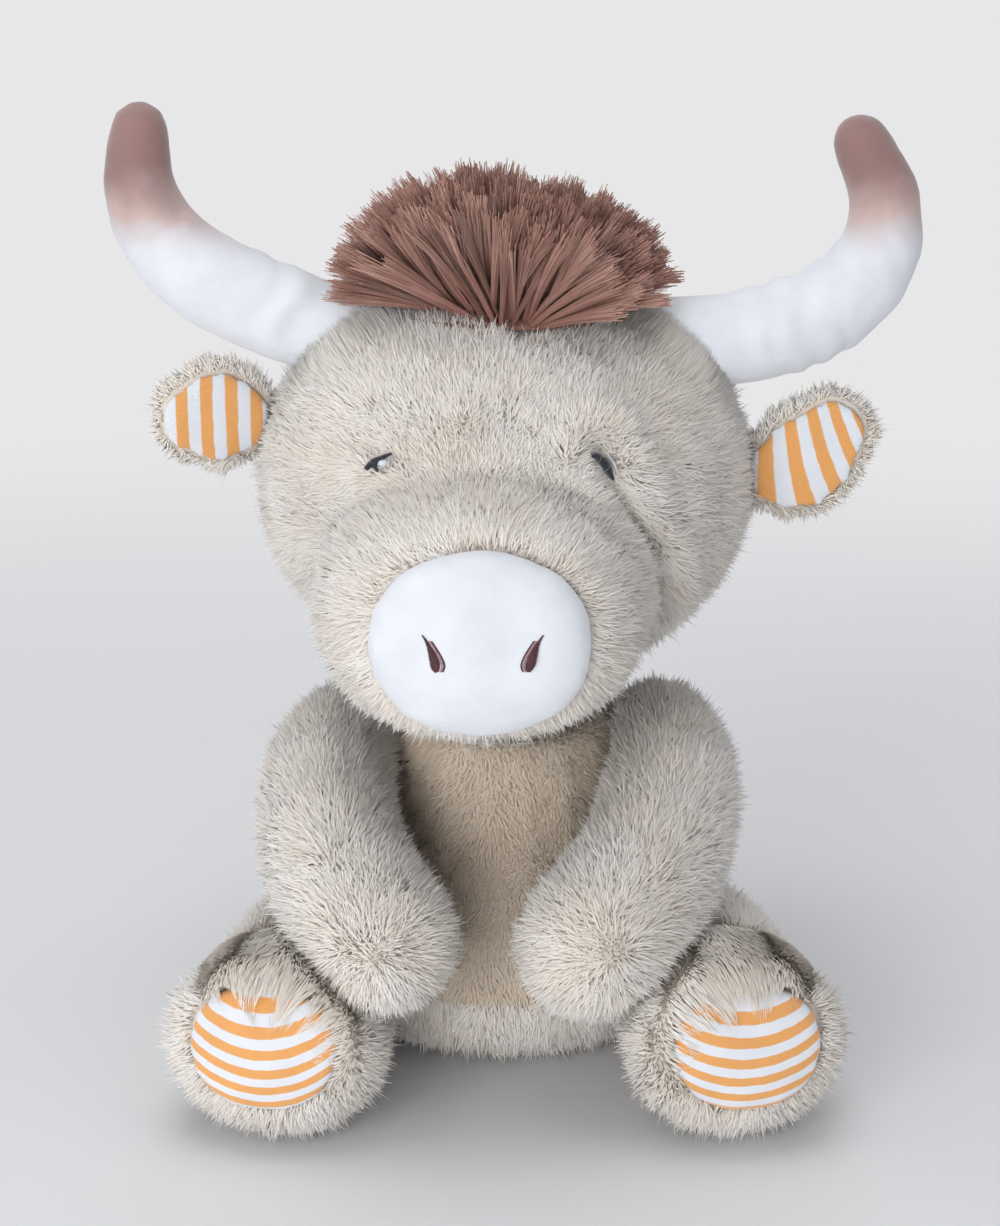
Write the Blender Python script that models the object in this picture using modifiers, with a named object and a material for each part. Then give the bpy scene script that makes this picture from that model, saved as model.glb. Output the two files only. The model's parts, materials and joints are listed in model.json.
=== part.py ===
"""Plush cow with long horns, seated, about 300 mm tall.

The toy faces -Y and sits on the plane z = 0, with the middle of its seat at the origin.
Left and right are the toy's own, so its left side is at +X. Metres throughout.

Each sewn part is a cover with a wall of plush or velour and a wad of stuffing inside it.
The head nods on a ball-topped neck that turns on the torso, and each limb, horn, ear and
the tail hinges at its seam, so its root is round about its own hinge point.
"""

import math

import bmesh
import bpy
import numpy as np
from mathutils import Matrix, Vector
from mathutils.bvhtree import BVHTree
from mathutils.geometry import interpolate_bezier

LEFT = 1
RIGHT = -1

# Fabric, clearances and facets

plush_wall = 0.0030
velour_wall = 0.0016
lining_wall = 0.0022
seam_gap = 0.0003
stuffing_gap = 0.0006
dent_gap = 0.0018
cut_overrun = 0.3000
seam_overrun = 0.0100
merge_distance = 0.0001
round_sides = 20
round_rings = 12
ball_sides = 24
ball_rings = 14
limb_sides = 10
limb_rings = 6
dome_rings = 2
small_sides = 8

# Torso: a pear turned about Z, flat where it sits, that reaches further to the belly than to the back

torso_width = 0.142
torso_back_reach = 0.066
torso_belly_reach = 0.0765
torso_height = 0.1005
torso_profile_shares = (
    (0.560, 1.000),
    (0.605, 0.910),
    (0.640, 0.820),
    (0.685, 0.730),
    (0.755, 0.640),
    (0.850, 0.540),
    (0.935, 0.430),
    (0.990, 0.320),
    (1.000, 0.220),
    (0.970, 0.120),
    (0.890, 0.045),
    (0.740, 0.000),
)
tummy_half_width = 0.042
tummy_side_y = -0.012
seat_seam_height = 0.012

# Bag of pellets that weights the seat

pellet_bag_width = 0.086
pellet_bag_depth = 0.078
pellet_bag_height = 0.020
pellet_bag_square_share = 0.23

# Neck: a ball top that turns on the torso and carries the head

neck_ball_radius = 0.0370
neck_height = 0.1270
neck_sink = 0.0080

# Head and snout. A square share of 0 is a ball, and nearer 1 the corners are fuller

head_width = 0.159
head_depth = 0.118
head_height = 0.120
head_square_share = 0.11
head_side_seam_y = 0.014
face_shift = -0.0075
snout_width = 0.100
snout_height = 0.074
snout_reach = 0.108
snout_root_y = -0.006
snout_drop = 0.026
snout_square_share = 0.13

# Muzzle disc, nostrils and eyes

disc_width = 0.067
disc_height = 0.057
disc_thickness = 0.026
disc_reach = 0.1130
disc_square_share = 0.09
muzzle_wad_depth = 0.030
muzzle_wad_share = 0.80
muzzle_wad_place_share = 0.25
nostril_spacing = 0.0298
nostril_length = 0.0098
nostril_width = 0.0042
nostril_rise = 0.0006
nostril_line_shares = ((0.55, 0.50), (-0.15, 0.20), (-0.35, -0.10), (-0.10, -0.375))
nostril_width_shares = (0.40, 0.65, 0.95, 0.80)
eye_spacing = 0.0655
eye_shift = -0.0048
eye_lift = 0.0172
eye_width = 0.0090
eye_length = 0.0060
eye_thickness = 0.0030

# Tuft of long pile on the crown

tuft_width = 0.090
tuft_depth = 0.056
tuft_height = 0.056
tuft_shift = 0.002
tuft_forward = 0.008
tuft_lift = 0.011
tuft_flare_share = 0.20
tuft_square_share = 0.17
tuft_backing_wall = 0.0012

# Horns: the root as shares of the head's half sizes, then two handles and the tip from the
# root as shares of the horn's reach to the side and of its rise

horn_root_radius = 0.0148
horn_reach = 0.090
horn_rise = 0.062
horn_radius_shares = (1.00, 1.10, 1.08, 0.98, 0.85, 0.69)
horn_root_shares = {LEFT: (0.630, -0.10, 0.767), RIGHT: (0.580, -0.10, 0.783)}
horn_line_shares = {
    LEFT: ((0.556, -0.03, -0.05), (1.000, 0.02, 0.40), (0.700, 0.10, 1.00)),
    RIGHT: ((0.467, -0.03, 0.21), (0.867, 0.02, 0.42), (0.778, 0.10, 1.05)),
}

# Ears: half sizes, and how far each stands out, forward and up from its root

ear_half_width = 0.0188
ear_half_thickness = 0.0032
ear_root_y = -0.004
ear_reach = 0.025
ear_forward = 0.005
ear_rise = 0.017
ear_side_rise_shares = {LEFT: 1.0, RIGHT: -0.33}
ear_root_height_shares = {LEFT: 0.045, RIGHT: 0.310}
ear_width_shares = (0.62, 0.86, 1.00, 0.94, 0.72)
ear_curl_shares = (0.0, 0.03, 0.18, 0.49, 1.0)
ear_tip_share = 0.70
ear_lining_margin = 0.0035
ear_lining_sink = 0.0016

# Arms: two handles and the hand from the root as shares of the arm's reach, and the radii

arm_root_radius = 0.0200
arm_root_y = -0.014
arm_root_z = 0.0915
arm_reach = 0.086
shoulder_seat_x = 0.0390
shoulder_seat_margin = 0.0012
arm_root_share = 0.60
arm_radius_shares = (1.00, 1.03, 1.07, 1.11, 1.12)
arm_line_shares = {
    LEFT: ((0.090, -0.256, -0.012), (0.005, -0.814, -0.205), (-0.285, -1.000, -0.385)),
    RIGHT: ((0.145, -0.256, -0.012), (0.088, -0.791, -0.195), (-0.155, -0.988, -0.370)),
}

# Legs: hip, foot centre and the half widths and half heights between them

hip_spacing = 0.119
hip_y = -0.048
hip_z = 0.0275
leg_root_radius = 0.0260
foot_spacing = 0.140
foot_y = -0.107
foot_z = 0.0285
leg_half_width_shares = (1.00, 1.02, 1.14, 1.28)
leg_half_height_shares = (1.00, 1.04, 1.08, 1.10)
foot_dome_share = 0.52
sole_width = 0.047
sole_height = 0.039
sole_thickness = 0.0120
sole_sink_share = 0.42
sole_rise = 0.0045
sole_tilt_degrees = 14.0

# Tail with its tuft

tail_radius = 0.0042
tail_height = 0.024
tail_reach = 0.024
tail_drop = 0.014
tail_bend_shares = (0.6, 0.4)
tail_tuft_radius = 0.0080
tail_tuft_length = 0.026
tail_tuft_place_shares = (0.0, 0.35, 0.70)
tail_tuft_radius_shares = (0.70, 1.00, 0.85)

# Openings where a cover is sewn to what carries it, as a share of its root radius

root_opening_share = 0.62

# Heights that follow from the sizes above

head_centre_z = neck_height - neck_sink + head_height / 2
snout_centre_z = head_centre_z - snout_drop
eye_height_z = head_centre_z + eye_lift
nostril_height_z = snout_centre_z + nostril_rise

# Collections and materials


def clear_scene():
    for old in list(bpy.data.objects):
        bpy.data.objects.remove(old, do_unlink=True)


def new_collection(name):
    collection = bpy.data.collections.new(name)
    bpy.context.scene.collection.children.link(collection)
    return collection


def cloth(name, colour, roughness):
    """A matt textile, with no metal in it."""
    material = bpy.data.materials.new(name)
    material.use_nodes = True
    shader = material.node_tree.nodes["Principled BSDF"]
    shader.inputs["Base Color"].default_value = (*colour, 1.0)
    shader.inputs["Roughness"].default_value = roughness
    shader.inputs["Metallic"].default_value = 0.0
    return material


clear_scene()
parts = new_collection("plush_cow")
cutters = new_collection("cutters")

beige_plush = cloth("beige_plush", (0.60, 0.55, 0.49), 0.95)
tan_plush = cloth("tan_plush", (0.50, 0.40, 0.31), 0.95)
white_velour = cloth("white_velour", (0.82, 0.83, 0.86), 0.85)
striped_velour = cloth("striped_velour", (0.80, 0.50, 0.28), 0.85)
brown_pile = cloth("brown_pile", (0.22, 0.10, 0.07), 0.90)
dark_thread = cloth("dark_thread", (0.020, 0.018, 0.022), 0.60)
burgundy_thread = cloth("burgundy_thread", (0.085, 0.025, 0.030), 0.60)
stuffing = cloth("polyester_stuffing", (0.85, 0.85, 0.83), 1.0)
liner_cloth = cloth("cotton_liner", (0.70, 0.68, 0.62), 0.9)

# Forms: each gives a bmesh in world coordinates


def fullness(square_share):
    """The exponent of a form between a ball, at 0, and a box, at 1."""
    return 2 / (1 - square_share)


def plump(point, exponent):
    """Moves a point of the unit sphere out to a rounder-cornered unit form."""
    size = sum(abs(value) ** exponent for value in point) ** (1.0 / exponent)
    return point / size


def half_step(form, sides):
    """Turns a round form by half a facet, so that no corner lies in the middle plane."""
    bmesh.ops.rotate(form, matrix=Matrix.Rotation(math.pi / sides, 3, "Z"), verts=form.verts)


def round_form(centre, sizes, inset=0.0, square_share=0.0, sides=round_sides, rings=round_rings):
    """A ball of three sizes about its centre, every radius less the inset."""
    exponent = fullness(square_share)
    form = bmesh.new()
    bmesh.ops.create_uvsphere(form, u_segments=sides, v_segments=rings, radius=1.0)
    half_step(form, sides)
    radii = [size / 2 - inset for size in sizes]
    for vertex in form.verts:
        unit = plump(vertex.co, exponent)
        vertex.co = Vector(c + r * u for c, r, u in zip(centre, radii, unit))
    return form


def drawn_form(spine, widths, heights, root_depth, end_depth, up=(0, 0, 1), sides=limb_sides):
    """A ball drawn out along a spine, with an oval section at each of its points and round ends.

    Widths and heights are half sizes. The ends stand root_depth and end_depth past the spine.
    """
    points = [Vector(point) for point in spine]
    last = len(points) - 1
    tangents = [(points[min(i + 1, last)] - points[max(i - 1, 0)]).normalized() for i in range(last + 1)]
    turns = [math.pi / 2 * k / (dome_rings + 1) for k in range(dome_rings + 1, 0, -1)]
    stations = [(points[0] - tangents[0] * root_depth * math.sin(a), 0, math.cos(a)) for a in turns]
    stations += [(point, i, 1.0) for i, point in enumerate(points)]
    past_end = tangents[last] * end_depth
    stations += [(points[last] + past_end * math.sin(a), last, math.cos(a)) for a in turns[::-1]]
    form = bmesh.new()
    bmesh.ops.create_uvsphere(form, u_segments=sides, v_segments=len(stations) - 1, radius=1.0)
    for vertex in form.verts:
        ring = round(math.acos(max(-1.0, min(1.0, vertex.co.z))) / math.pi * (len(stations) - 1))
        turn = math.atan2(vertex.co.y, vertex.co.x)
        middle, index, share = stations[ring]
        across = tangents[index].cross(Vector(up)).normalized()
        upward = across.cross(tangents[index])
        reach_across = across * widths[index] * math.cos(turn)
        reach_upward = upward * heights[index] * math.sin(turn)
        vertex.co = middle + (reach_across + reach_upward) * share
    return form


def along(shares, count):
    """The shares read at evenly spaced places."""
    places = np.linspace(0, len(shares) - 1, count)
    return [float(value) for value in np.interp(places, range(len(shares)), shares)]


def curve_points(line, count=limb_rings):
    return interpolate_bezier(*[Vector(point) for point in line], count)


def box_form(low, high):
    form = bmesh.new()
    bmesh.ops.create_cube(form, size=1.0)
    middle = (Vector(low) + Vector(high)) / 2
    size = Vector(high) - Vector(low)
    bmesh.ops.scale(form, vec=size, verts=form.verts)
    bmesh.ops.translate(form, vec=middle, verts=form.verts)
    return form


def rod_form(start, direction, length, radius, sides=limb_sides):
    """A round rod from a point along a direction."""
    form = bmesh.new()
    bmesh.ops.create_cone(form, cap_ends=True, segments=sides, radius1=radius, radius2=radius, depth=length)
    turn = Vector((0, 0, 1)).rotation_difference(Vector(direction)).to_matrix().to_4x4()
    middle = Vector(start) + Vector(direction).normalized() * length / 2
    bmesh.ops.transform(form, matrix=Matrix.Translation(middle) @ turn, verts=form.verts)
    return form


def ball_seat_radius(radius, sides, rings):
    """The radius of a faceted ball whose flats all clear a ball of the given radius."""
    return (radius + seam_gap) / (math.cos(math.pi / sides) * math.cos(math.pi / 2 / rings))


def turned_form(profile, steps):
    """A profile of (radius, z) from the top down its outer side, turned about Z."""
    mesh = bpy.data.meshes.new("profile")
    mesh.from_pydata([(r, 0, z) for r, z in profile], [(i, i + 1) for i in range(len(profile) - 1)], [])
    turned = bpy.data.objects.new("profile", mesh)
    cutters.objects.link(turned)
    screw = turned.modifiers.new("turn", "SCREW")
    screw.axis = "Z"
    screw.steps = steps
    screw.render_steps = steps
    screw.use_merge_vertices = True
    screw.merge_threshold = merge_distance
    evaluated = turned.evaluated_get(bpy.context.evaluated_depsgraph_get())
    form = bmesh.new()
    form.from_mesh(evaluated.to_mesh())
    half_step(form, steps)
    bpy.data.objects.remove(turned, do_unlink=True)
    bpy.data.meshes.remove(mesh)
    return form


def torso_form(inset, overrun=0.0):
    """The pear with its sides and its floor moved in by the inset, and its flat top raised by the overrun."""
    half = torso_width / 2 - inset
    tall = torso_height - inset
    profile = [(share * half, inset + rise * tall) for share, rise in torso_profile_shares]
    if overrun:
        profile.insert(0, (profile[0][0], torso_height + overrun))
    profile.insert(0, (0.0, profile[0][1]))
    profile.append((0.0, inset))
    form = turned_form(profile, round_sides)
    for vertex in form.verts:
        reach = torso_belly_reach if vertex.co.y < 0 else torso_back_reach
        vertex.co.y *= (reach - inset) / half
    return form


def head_form(inset):
    centre = (0, 0, head_centre_z)
    return round_form(centre, (head_width, head_depth, head_height), inset, head_square_share)


def snout_form(inset):
    middle = (face_shift, (snout_root_y - snout_reach) / 2, snout_centre_z)
    length = snout_reach + snout_root_y
    sizes = (snout_width, length, snout_height)
    return round_form(middle, sizes, inset, snout_square_share, small_sides * 2)


def disc_form(inset):
    centre = (face_shift, disc_thickness / 2 - disc_reach, snout_centre_z)
    sizes = (disc_width, disc_thickness, disc_height)
    return round_form(centre, sizes, inset, disc_square_share, round_sides, small_sides)


def muzzle_wad_form(inset):
    behind_disc = disc_thickness + muzzle_wad_depth * muzzle_wad_place_share
    centre = (face_shift, behind_disc - disc_reach, snout_centre_z)
    sizes = (disc_width * muzzle_wad_share, muzzle_wad_depth, disc_height * muzzle_wad_share)
    return round_form(centre, sizes, inset, disc_square_share, small_sides, small_sides)


def neck_form(inset):
    centre = (0, 0, neck_height - neck_ball_radius)
    size = neck_ball_radius * 2
    return round_form(centre, (size, size, size), inset, 0.0, ball_sides, ball_rings)


def third_half(first_share, second_share, square_share):
    """How far a full form stands out along its third axis, as a share, where it is cut by two others."""
    exponent = fullness(square_share)
    rest = 1.0 - abs(first_share) ** exponent - abs(second_share) ** exponent
    return max(rest, 0.0) ** (1.0 / exponent)


def head_surface_x(y, z):
    """How far the side of the head stands out at a place."""
    y_share = y / (head_depth / 2)
    z_share = (z - head_centre_z) / (head_height / 2)
    return head_width / 2 * third_half(y_share, z_share, head_square_share)


def head_normal(point):
    """The direction square to the head below a point near it."""
    halves = (head_width / 2, head_depth / 2, head_height / 2)
    offsets = (point.x, point.y, point.z - head_centre_z)
    power = fullness(head_square_share) - 1.0
    slopes = [
        math.copysign(abs(offset / half) ** power / half, offset)
        for offset, half in zip(offsets, halves)
    ]
    return Vector(slopes).normalized()


def tuft_form(inset):
    """The pile on the crown, which spreads towards its top."""
    middle_z = head_centre_z + head_height / 2 + tuft_lift
    sizes = (tuft_width, tuft_depth, tuft_height)
    centre = (0, -tuft_forward, middle_z)
    form = round_form(centre, sizes, inset, tuft_square_share, limb_sides * 2, small_sides)
    for vertex in form.verts:
        rise_share = (vertex.co.z - middle_z) / (tuft_height / 2)
        vertex.co.x = tuft_shift + vertex.co.x * (1.0 + tuft_flare_share * rise_share)
    return form


def pellet_bag_form(inset):
    centre = (0, 0, plush_wall)
    sizes = (pellet_bag_width, pellet_bag_depth, pellet_bag_height * 2)
    return round_form(centre, sizes, inset, pellet_bag_square_share, limb_sides * 2, small_sides)


def horn_line(side):
    """The root, two handles and the tip of a horn's middle line."""
    out, forward, up = horn_root_shares[side]
    lift = head_centre_z + head_height / 2 * up
    root = Vector((side * head_width / 2 * out, head_depth / 2 * forward, lift))
    steps = [(side * horn_reach * x, horn_reach * y, horn_rise * z) for x, y, z in horn_line_shares[side]]
    return [root] + [root + Vector(step) for step in steps]


def horn_form(side, inset):
    count = limb_rings + 2
    radii = [horn_root_radius * share - inset for share in along(horn_radius_shares, count)]
    return drawn_form(curve_points(horn_line(side), count), radii, radii, radii[0], radii[-1], (0, 1, 0))


def horn_seat(side):
    """The point and the normal of the plane on which a horn is sewn, which just clears the head."""
    first, second = horn_line(side)[:2]
    run = (second - first).normalized()
    normal = head_normal(first + run * horn_root_radius)
    head = head_form(0.0)
    highest = max(vertex.co.dot(normal) for vertex in head.verts)
    head.free()
    step = (highest + seam_gap - first.dot(normal)) / run.dot(normal)
    return first + run * step, normal


def arm_root(side):
    """The middle of the arm's root, on its hinge and just outside the flat it is sewn to."""
    return Vector((side * (shoulder_seat_x + arm_root_radius * arm_root_share), arm_root_y, arm_root_z))


def arm_form(side, inset):
    root = arm_root(side)
    steps = [Vector((side * x, y, z)) * arm_reach for x, y, z in arm_line_shares[side]]
    line = [root] + [root + step for step in steps]
    radii = [arm_root_radius * share - inset for share in along(arm_radius_shares, limb_rings)]
    return drawn_form(curve_points(line), radii, radii, radii[0], radii[-1])


def hip(side):
    return Vector((side * hip_spacing / 2, hip_y, hip_z))


def foot(side):
    return Vector((side * foot_spacing / 2, foot_y, foot_z))


def leg_form(side, inset):
    count = limb_rings - 2
    widths = [leg_root_radius * share - inset for share in along(leg_half_width_shares, count)]
    heights = [leg_root_radius * share - inset for share in along(leg_half_height_shares, count)]
    spine = [hip(side).lerp(foot(side), step / (count - 1)) for step in range(count)]
    dome = leg_root_radius * leg_half_width_shares[-1] * foot_dome_share - inset
    return drawn_form(spine, widths, heights, widths[0], dome, sides=limb_sides + 2)


def sole_form(side, inset):
    """The puffed sole, leaning back from the tip of the foot."""
    sizes = (sole_width, sole_thickness, sole_height)
    form = round_form((0, 0, 0), sizes, inset, disc_square_share, limb_sides * 2, small_sides)
    forward = (foot(side) - hip(side)).normalized()
    dome = leg_root_radius * leg_half_width_shares[-1] * foot_dome_share
    place = foot(side) + forward * (dome - sole_thickness * sole_sink_share)
    place.z += sole_rise
    heading = math.atan2(forward.x, -forward.y)
    lean = Matrix.Rotation(math.radians(-sole_tilt_degrees), 4, "X")
    turn = Matrix.Translation(place) @ Matrix.Rotation(heading, 4, "Z") @ lean
    bmesh.ops.transform(form, matrix=turn, verts=form.verts)
    return form


def ear_root(side):
    """The middle of the ear's rounded root, against the side of the head."""
    height = head_centre_z + head_height / 2 * ear_root_height_shares[side]
    foot_of_ear = Vector((side * head_surface_x(ear_root_y, height), ear_root_y, height))
    outward = head_normal(foot_of_ear)
    head = head_form(0.0)
    bmesh.ops.triangulate(head, faces=head.faces, quad_method="FIXED")
    facet_point = BVHTree.FromBMesh(head).ray_cast(foot_of_ear + outward * seam_overrun, -outward)[0]
    head.free()
    return facet_point + outward * (ear_half_thickness + seam_gap)


def ear_spine(side):
    """Straight out from the head at the root, then curving up towards the tip."""
    root = ear_root(side)
    straight = head_normal(root) * ear_reach - Vector((0, ear_forward, 0))
    rise = Vector((0, 0, ear_rise * ear_side_rise_shares[side]))
    last = len(ear_curl_shares) - 1
    return [root + straight * step / last + rise * curl for step, curl in enumerate(ear_curl_shares)]


def ear_form(side, inset, thickness):
    widths = [ear_half_width * share - inset for share in ear_width_shares]
    heights = [thickness] * len(widths)
    return drawn_form(ear_spine(side), heights, widths, thickness, widths[-1] * ear_tip_share)


def ear_lining_form(side, inset):
    """A thin pillow let into the front of the ear."""
    form = ear_form(side, ear_lining_margin + inset, lining_wall - inset)
    forward = ear_half_thickness + lining_wall - ear_lining_sink
    bmesh.ops.translate(form, vec=(0, -forward, 0), verts=form.verts)
    return form


def nostril_form(side, inset):
    """A comma of thread: thin at the top, thick at the bottom, curling in."""
    middle = Vector((face_shift + side * nostril_spacing / 2, 0, nostril_height_z))
    steps = [(side * nostril_width * x, 0, nostril_length * z) for x, z in nostril_line_shares]
    line = [middle + Vector(step) for step in steps]
    for point in line:
        point.y = disc_front_y(point)
    widths = [nostril_width / 2 * share - inset for share in nostril_width_shares]
    return drawn_form(line, widths, widths, widths[0], widths[-1], (0, 1, 0), small_sides - 2)


def disc_front_y(point):
    """The front of the muzzle disc above a point of its face."""
    x_share = (point.x - face_shift) / (disc_width / 2)
    z_share = (point.z - snout_centre_z) / (disc_height / 2)
    bulge = third_half(x_share, z_share, disc_square_share)
    return disc_thickness / 2 * (1.0 - bulge) - disc_reach


def eye_place(side):
    """The point of the head's front under an eye."""
    x = eye_shift + side * eye_spacing / 2
    x_share = x / (head_width / 2)
    z_share = eye_lift / (head_height / 2)
    y = -head_depth / 2 * third_half(x_share, z_share, head_square_share)
    return Vector((x, y, eye_height_z))


def eye_form(side, inset):
    sizes = (eye_width, eye_thickness, eye_length)
    form = round_form((0, 0, 0), sizes, inset, 0.0, small_sides, small_sides - 2)
    place = eye_place(side)
    outward = math.atan2(place.x / head_width ** 2, -place.y / head_depth ** 2)
    turn = Matrix.Translation(place) @ Matrix.Rotation(outward, 4, "Z")
    bmesh.ops.transform(form, matrix=turn, verts=form.verts)
    return form


def tail_line():
    """Out from the back and down to the floor: root, two handles and end."""
    flat_y = torso_back_reach * math.cos(math.pi / round_sides)
    root = Vector((0, flat_y + tail_radius + seam_gap, tail_height))
    out = Vector((0, tail_reach, 0))
    drop = Vector((0, 0, -tail_drop))
    out_share, drop_share = tail_bend_shares
    return root, root + out * out_share, root + out + drop * drop_share, root + out + drop


def tail_form(inset):
    radii = [tail_radius - inset] * limb_rings
    return drawn_form(curve_points(tail_line()), radii, radii, radii[0], radii[-1], (1, 0, 0), small_sides)


def tail_tuft_form(inset):
    """A drop of long pile over the end of the tail."""
    start = tail_line()[-1]
    lean = Vector((0, tail_tuft_length, tail_tuft_radius - start.z))
    spine = [start + lean * share for share in tail_tuft_place_shares]
    radii = [tail_tuft_radius * share - inset for share in tail_tuft_radius_shares]
    return drawn_form(spine, radii, radii, radii[0], radii[-1], (1, 0, 0), small_sides)


# Objects


def facet(form, mesh):
    """Writes a form into a mesh, each four-sided face split the same way in every layer."""
    bmesh.ops.triangulate(form, faces=form.faces, quad_method="FIXED")
    form.to_mesh(mesh)
    form.free()


def cutter(name, form):
    mesh = bpy.data.meshes.new(name)
    facet(form, mesh)
    shape = bpy.data.objects.new(name, mesh)
    cutters.objects.link(shape)
    shape.hide_render = True
    shape.display_type = "WIRE"
    return shape


def piece(name, form, material, pivot=None):
    """A part in its own node, with its origin on the joint that carries it."""
    mesh = bpy.data.meshes.new(name)
    if pivot is not None:
        bmesh.ops.translate(form, vec=-pivot.location_in_world, verts=form.verts)
    facet(form, mesh)
    mesh.shade_smooth()
    mesh.materials.append(material)
    node = bpy.data.objects.new(name, mesh)
    parts.objects.link(node)
    if pivot is not None:
        node.parent = pivot.empty
    return node


def boolean(node, operation, *shapes):
    for shape in shapes:
        step = node.modifiers.new(shape.name, "BOOLEAN")
        step.operation = operation
        step.solver = "EXACT"
        step.object = shape


def cut(node, *shapes):
    boolean(node, "DIFFERENCE", *shapes)


def add(node, *shapes):
    boolean(node, "UNION", *shapes)


class Pivot:
    """An empty on a joint, placed in world coordinates under its parent."""

    def __init__(self, name, place, parent=None):
        self.location_in_world = Vector(place)
        self.empty = bpy.data.objects.new(name, None)
        self.empty.empty_display_size = seam_overrun
        parts.objects.link(self.empty)
        if parent is None:
            self.empty.location = self.location_in_world
        else:
            self.empty.parent = parent.empty
            self.empty.location = self.location_in_world - parent.location_in_world


def half_space(name, axis, sign, place):
    """A large box on one side of a plane square to an axis."""
    low = [-cut_overrun] * 3
    high = [cut_overrun] * 3
    if sign > 0:
        low[axis] = place
        high[axis] = place + cut_overrun
    else:
        low[axis] = place - cut_overrun
        high[axis] = place
    return cutter(name, box_form(low, high))


def behind_plane(name, point, normal):
    """A large box behind a leaning plane."""
    half = cut_overrun / 2
    form = box_form((-half, -half, -cut_overrun), (half, half, 0))
    turn = Vector((0, 0, 1)).rotation_difference(normal).to_matrix().to_4x4()
    bmesh.ops.transform(form, matrix=Matrix.Translation(point) @ turn, verts=form.verts)
    return cutter(name, form)


def side_name(side):
    return "left" if side == LEFT else "right"


# Joint points

neck_turn = Pivot("neck_turn", (0, 0, torso_height))
head_nod = Pivot("head_nod", (0, 0, neck_height - neck_ball_radius), neck_turn)
horn_pivots = {}
ear_pivots = {}
arm_pivots = {}
leg_pivots = {}
for limb_side in (LEFT, RIGHT):
    limb_name = side_name(limb_side)
    horn_pivots[limb_side] = Pivot(f"horn_{limb_name}_hinge", horn_seat(limb_side)[0], head_nod)
    ear_pivots[limb_side] = Pivot(f"ear_{limb_name}_hinge", ear_root(limb_side), head_nod)
    arm_pivots[limb_side] = Pivot(f"arm_{limb_name}_hinge", arm_root(limb_side))
    leg_pivots[limb_side] = Pivot(f"leg_{limb_name}_hinge", hip(limb_side))
tail_pivot = Pivot("tail_hinge", tail_line()[0])

# Cutters that seat the moving parts in what carries them


def shoulder_seat_form(side):
    """A round flat on the torso, square to the arm's hinge."""
    start = (side * shoulder_seat_x, arm_root_y, arm_root_z)
    return rod_form(start, (side, 0, 0), cut_overrun, arm_root_radius + shoulder_seat_margin, round_sides)


def shoulder_flat_form(side):
    """What cuts the arm's root flat, the seam gap off the torso's flat."""
    start = (side * (shoulder_seat_x + seam_gap), arm_root_y, arm_root_z)
    width = arm_root_radius + shoulder_seat_margin * 2
    return rod_form(start, (-side, 0, 0), arm_root_radius * 2, width, round_sides)


def hip_seat_form(side):
    """A hollow in the torso for the leg's round root."""
    size = ball_seat_radius(leg_root_radius, round_sides, round_rings) * 2
    return round_form(hip(side), (size, size, size))


def neck_seat_form():
    """A hollow under the head for the neck's ball top."""
    centre = (0, 0, neck_height - neck_ball_radius)
    size = ball_seat_radius(neck_ball_radius, ball_sides, ball_rings) * 2
    return round_form(centre, (size, size, size), 0.0, 0.0, ball_sides, ball_rings)


arm_seats = [cutter(f"arm_seat_{side_name(side)}", shoulder_seat_form(side)) for side in (LEFT, RIGHT)]
leg_seats = [cutter(f"leg_seat_{side_name(side)}", hip_seat_form(side)) for side in (LEFT, RIGHT)]
leg_channels = [cutter(f"leg_channel_{side_name(side)}", leg_form(side, -seam_gap)) for side in (LEFT, RIGHT)]
arm_channels = [cutter(f"arm_channel_{side_name(side)}", arm_form(side, -dent_gap)) for side in (LEFT, RIGHT)]
for limb_side, arm_channel in zip((LEFT, RIGHT), arm_channels):
    shoulder_place = limb_side * shoulder_seat_x
    cut(arm_channel, half_space(f"inside_{side_name(limb_side)}_shoulder", 0, -limb_side, shoulder_place))
neck_seat = cutter("neck_seat", neck_seat_form())


def make_torso():
    inner = cutter("torso_inner", torso_form(plush_wall, seam_overrun))
    above_seat_seam = half_space("above_seat_seam", 2, 1, seat_seam_height)
    below_seat_seam = half_space("below_seat_seam", 2, -1, seat_seam_height + seam_gap)
    front_low = (-tummy_half_width, -cut_overrun, seat_seam_height)
    front_high = (tummy_half_width, tummy_side_y, torso_height + seam_overrun)
    front = cutter("tummy_region", box_form(front_low, front_high))
    margin = Vector((seam_gap, seam_gap, seam_gap))
    wide_front = cutter("tummy_surround", box_form(Vector(front_low) - margin, Vector(front_high) + margin))
    seats = (*arm_seats, *arm_channels, *leg_seats, *leg_channels)

    seat = piece("seat_panel", torso_form(0.0), beige_plush)
    cut(seat, *leg_seats, *leg_channels, inner, above_seat_seam)

    tummy = piece("tummy_panel", torso_form(0.0), tan_plush)
    cut(tummy, *seats, inner, below_seat_seam)
    boolean(tummy, "INTERSECT", front)

    for index, side in enumerate((LEFT, RIGHT)):
        name = side_name(side)
        other_half = half_space(f"beyond_{name}_back_seam", 0, -side, side * seam_gap / 2)
        side_seats = (arm_seats[index], arm_channels[index], leg_seats[index], leg_channels[index])
        panel = piece(f"back_{name}_panel", torso_form(0.0), beige_plush)
        cut(panel, *side_seats, inner, wide_front, below_seat_seam, other_half)

    bag_seat = cutter("pellet_bag_seat", pellet_bag_form(-seam_gap))
    wad = plush_wall + stuffing_gap
    filling = piece("torso_filling", torso_form(wad), stuffing)
    cut(filling, bag_seat, *seats)

    below_bag = half_space("below_pellet_bag", 2, -1, plush_wall + stuffing_gap)
    bag = piece("pellet_bag", pellet_bag_form(0.0), liner_cloth)
    cut(bag, below_bag)


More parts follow.
